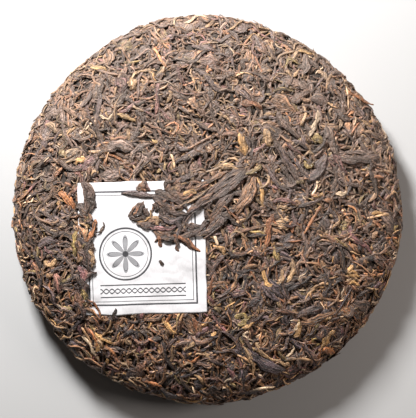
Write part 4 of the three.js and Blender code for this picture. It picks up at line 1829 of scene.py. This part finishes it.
@dataclass
class Ticket:
    """The paper ticket: a thin crumpled sheet with a plain printed ornament."""

    form: TicketForm
    chart: Chart
    name: str = "paper_ticket"
    across: int = 90
    upward: int = 94
    ragged: float = 0.25 * MM
    ragged_waves: tuple[Point, Point] = ((8, 14 * MM), (9, 16 * MM))  # a seed and a wavelength each
    ragged_power: int = 8
    ink: Colour = (0.055, 0.055, 0.06)
    grey_ink: Colour = (0.19, 0.19, 0.2)
    grey_share: float = 0.8
    paper: Colour = (0.80, 0.78, 0.79)
    dull_paper: Colour = (0.744, 0.7254, 0.7347)
    worn_scale: float = 3.0
    worn_range: tuple[float, float] = (0.25, 0.5)
    worn_least: float = 0.75
    fibre_scale: float = 1.2
    fibre_range: tuple[float, float] = (0.3, 0.7)
    roughness: float = 0.85
    specular: float = 0.3
    bump: tuple[float, float] = (0.25, 0.2 * MM)

    def build(self) -> bpy.types.Object:
        """Makes the sheet: a grid of places on the paper, once for its top and once for its underside.

        Returns:
            The piece, which stands for the ticket's solid.
        """
        lines = [np.linspace(-0.5, 0.5, count) for count in (self.across, self.upward)]
        share = np.stack(np.meshgrid(*lines, indexing="ij"), -1)
        local = share * np.array([self.form.width, self.form.height])
        edge = (2 * share) ** self.ragged_power
        wander = np.stack([Ripples(seed, length)(local) for seed, length in self.ragged_waves], -1)
        plan = self.form.plan(local + self.ragged * wander * edge)
        bottom = self.form.bottom(plan)
        place = self.chart.from_plan(plan)
        sheets = [self.chart.place(place, bottom + self.form.thickness), self.chart.place(place, bottom)]
        points = np.concatenate([sheet.reshape(-1, 3) for sheet in sheets])
        triangles = self.net()
        uv = np.concatenate([local.reshape(-1, 2)] * 2)[triangles] / MM
        piece = mesh_piece(self.name, points, triangles, uv)
        piece.data.materials.append(self.material())
        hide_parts("ticket")
        return piece

    def net(self) -> np.ndarray:
        """The closed net: both faces, and strips that join them round the edge.

        Returns:
            The triangles, three corners' numbers each.
        """
        index = np.arange(self.across * self.upward).reshape(self.across, self.upward)
        below = index.size
        a, b, c, d = index[:-1, :-1], index[1:, :-1], index[1:, 1:], index[:-1, 1:]
        top = [np.stack([a, b, c], -1), np.stack([a, c, d], -1)]
        faces = [t.reshape(-1, 3) for t in top]
        faces += [t.reshape(-1, 3)[:, ::-1] + below for t in top]
        ring = np.concatenate([index[:-1, 0], index[-1, :-1], index[:0:-1, -1], index[0, :0:-1]])
        after = np.roll(ring, -1)
        faces.append(np.stack([ring, ring + below, after], 1))
        faces.append(np.stack([after, ring + below, after + below], 1))
        return np.concatenate(faces)

    def material(self) -> bpy.types.Material:
        """White paper, printed with a double border, a rosette in a ring, and rules with a wavy band.

        Returns:
            The material.
        """
        sheet = NodeSheet("printed paper")
        x, y = sheet.map()
        ornament = Ornament()
        flower, petals = ornament.flower(x, y)
        dark = sheet.steps(ornament.border_lines(x, y) + flower + ornament.band(x, y), 0, 1, 0, 1)
        specks = sheet.noise(sheet.vector(x, y), self.worn_scale, detail=2.0)
        worn = sheet.steps(specks, *self.worn_range, self.worn_least, 1)
        fibres = sheet.noise(sheet.vector(x, y * 0.5), self.fibre_scale, detail=5.0)
        white = sheet.mixed(sheet.steps(fibres, *self.fibre_range, 0, 1), self.dull_paper, self.paper)
        printed = sheet.mixed(petals * worn * self.grey_share, white, self.grey_ink)
        colour = sheet.mixed(dark * worn, printed, self.ink)
        sheet.paint(colour=colour, roughness=self.roughness, specular=self.specular)
        sheet.bump(fibres, *self.bump)
        return sheet.material


@dataclass
class TeaCake:
    """The whole cake: core, scattered leaves on both sides, listed leaves, and the ticket."""

    form: CakeForm = field(default_factory=CakeForm)
    ticket: TicketForm = field(default_factory=TicketForm)
    seed: int = 11
    sink: float = 0.35  # the share of its thickness by which a leaf sinks into the mat
    loose_sink: float = 0.1
    first_rank: float = 1.6  # of the listed leaves, over most of the scattered ones
    loose_rank: float = 3.0
    loose_seeds: tuple[int, int] = (5, 6)  # added to the seed, for the leaves laid and scattered loose
    rim_count: int = 230

    def build(self) -> None:
        """Makes every piece."""
        PressedCore(self.form).build()
        scattered = {kind.name: LeafPieces(kind) for kind in KINDS}
        for side in Side:
            chart = Chart(self.form, side)
            on_face = side is Side.FACE
            mat = LeafMat(chart, self.ticket if on_face else None)
            scatter = LeafScatter(chart, side, self.seed + side.value)
            batches = [scatter.draw(kind.on(side)) for kind in KINDS]
            extra = self.by_hand(chart) if on_face else []
            mat.settle(batches + extra, self.sink, False)
            mat.press()
            for batch in batches:
                scattered[batch.kind.name].add(batch, mat.points(batch, False), on_face)
            for batch in extra:
                self.piece(batch, mat.points(batch, False))
            if on_face:
                self.cover_ticket(mat, chart)
        for pieces in scattered.values():
            pieces.build()
        Ticket(self.ticket, Chart(self.form, Side.FACE)).build()

    def by_hand(self, chart: Chart) -> list[LeafBatch]:
        """The long and the pale leaves, which are pressed in with the scattered ones.

        Args:
            chart: the face's chart.

        Returns:
            Their batches.
        """
        hands = (
            HandLaid("long_leaves", laid(LONG_LEAVES), DARK_FINISH, self.seed),
            HandLaid("pale_leaves", laid(PALE_LEAVES), PALE_FINISH, self.seed + 1),
        )
        return [hand.batch(chart, self.first_rank + rank) for rank, hand in enumerate(hands)]

    def piece(self, batch: LeafBatch, points: np.ndarray) -> None:
        """Makes a piece of one batch on the face.

        Args:
            batch: the leaves.
            points: their points in space.
        """
        pieces = LeafPieces(batch.kind)
        pieces.add(batch, points, True)
        pieces.build()

    def cover_ticket(self, mat: LeafMat, chart: Chart) -> None:
        """Lays the leaves that cross the ticket on the pressed mat and the paper, and those round the rim.

        Args:
            mat: the face's mat, pressed.
            chart: the face's chart.
        """
        over_seed, small_seed = (self.seed + more for more in self.loose_seeds)
        over = HandLaid("ticket_leaves", laid(OVER_TICKET), DARK_FINISH, over_seed)
        scatter = LeafScatter(chart, Side.FACE, small_seed)
        small = scatter.cover(COVER_KIND, PATCHES, GAPS)
        batches = [small, over.batch(chart, self.loose_rank), scatter.fringe(RIM_KIND, self.rim_count)]
        mat.settle(batches, self.loose_sink, True)
        for batch in batches:
            self.piece(batch, mat.points(batch, True))


@dataclass(frozen=True)
class Lamp:
    """A square area light that faces the cake: its place and side in metres and its power in watts."""

    name: str
    place: tuple[float, float, float]
    size: float
    power: float
    colour: Colour

    def build(self) -> None:
        """Makes the light."""
        data = bpy.data.lights.new(self.name, "AREA")
        data.size = self.size
        data.energy = self.power
        data.color = self.colour
        lamp = bpy.data.objects.new(self.name, data)
        lamp.location = self.place
        lamp.rotation_euler = (-Vector(self.place)).to_track_quat("-Z", "Y").to_euler()
        bpy.context.scene.collection.objects.link(lamp)


@dataclass
class Studio:
    """The floor, the lights and the camera, which looks down on the face."""

    lamps: tuple[Lamp, ...] = (
        Lamp("window_light", (-0.21, 0.46, 0.32), 0.15, 9.2, (1.0, 1.0, 1.0)),
        Lamp("soft_fill", (0.54, 0.0, 0.32), 0.2, 1.35, (1.0, 0.91, 0.85)),
    )
    sky_colour: Colour = (1.0, 0.90, 0.84)
    sky_strength: float = 0.035
    floor_size: float = 14.0
    floor_drop: float = 0.1 * MM
    floor_colour: Colour = (0.55, 0.545, 0.54)
    floor_roughness: float = 0.9
    glow_colour: Colour = (1.0, 0.99, 0.98)
    glow_range: tuple[float, float] = (0.16, 1.1)
    glow: float = 0.5
    lens: float = 120.0
    film: float = 36.0
    view_span: float = 212 * MM
    target_height: float = 22 * MM
    target_x: float = 0.2 * MM

    def build(self) -> None:
        """Makes all of it."""
        self.floor()
        for lamp in self.lamps:
            lamp.build()
        self.sky()
        self.camera()

    def floor(self) -> None:
        """A plain pale floor under the cake, which glows faintly far away, where the lamps don't reach."""
        half, level = self.floor_size / 2, -self.floor_drop
        corners = [(-half, -half, level), (half, -half, level), (half, half, level), (-half, half, level)]
        mesh = bpy.data.meshes.new("floor")
        mesh.from_pydata(corners, [], [(0, 1, 2, 3)])
        floor = bpy.data.objects.new("floor", mesh)
        bpy.context.scene.collection.objects.link(floor)
        sheet = NodeSheet("studio floor")
        x, y = sheet.parts(sheet.place())
        away = sheet.maths("SQRT", x * x + y * y)
        glow = sheet.steps(away, *self.glow_range, 0, self.glow)
        sheet.paint(colour=self.floor_colour, roughness=self.floor_roughness)
        sheet.paint(glow=self.glow_colour, glow_strength=glow)
        mesh.materials.append(sheet.material)
        floor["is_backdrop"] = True

    def sky(self) -> None:
        """A dim even surround and the plain view transform."""
        world = bpy.data.worlds.new("studio")
        world.use_nodes = True
        background = world.node_tree.nodes["Background"]
        background.inputs["Color"].default_value = (*self.sky_colour, 1)
        background.inputs["Strength"].default_value = self.sky_strength
        scene = bpy.context.scene
        scene.world = world
        scene.view_settings.view_transform = "Standard"

    def camera(self) -> None:
        """A long lens straight above the face, far enough for the whole cake."""
        data = bpy.data.cameras.new("camera")
        data.lens = self.lens
        data.sensor_width = self.film
        distance = self.view_span * self.lens / self.film
        camera = bpy.data.objects.new("camera", data)
        camera.location = (self.target_x, 0, self.target_height + distance)
        bpy.context.scene.collection.objects.link(camera)
        bpy.context.scene.camera = camera


def corners() -> list[list[float]]:
    """The lowest and highest corner of what shows."""
    return [list(corner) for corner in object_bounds()]


def main() -> None:
    """Loads the frame and builds the studio and the cake; each piece logs its count of triangles."""
    logging.basicConfig(level=logging.INFO, format="%(message)s")
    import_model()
    Studio().build()
    TeaCake().build()


if __name__ == "__main__":
    main()
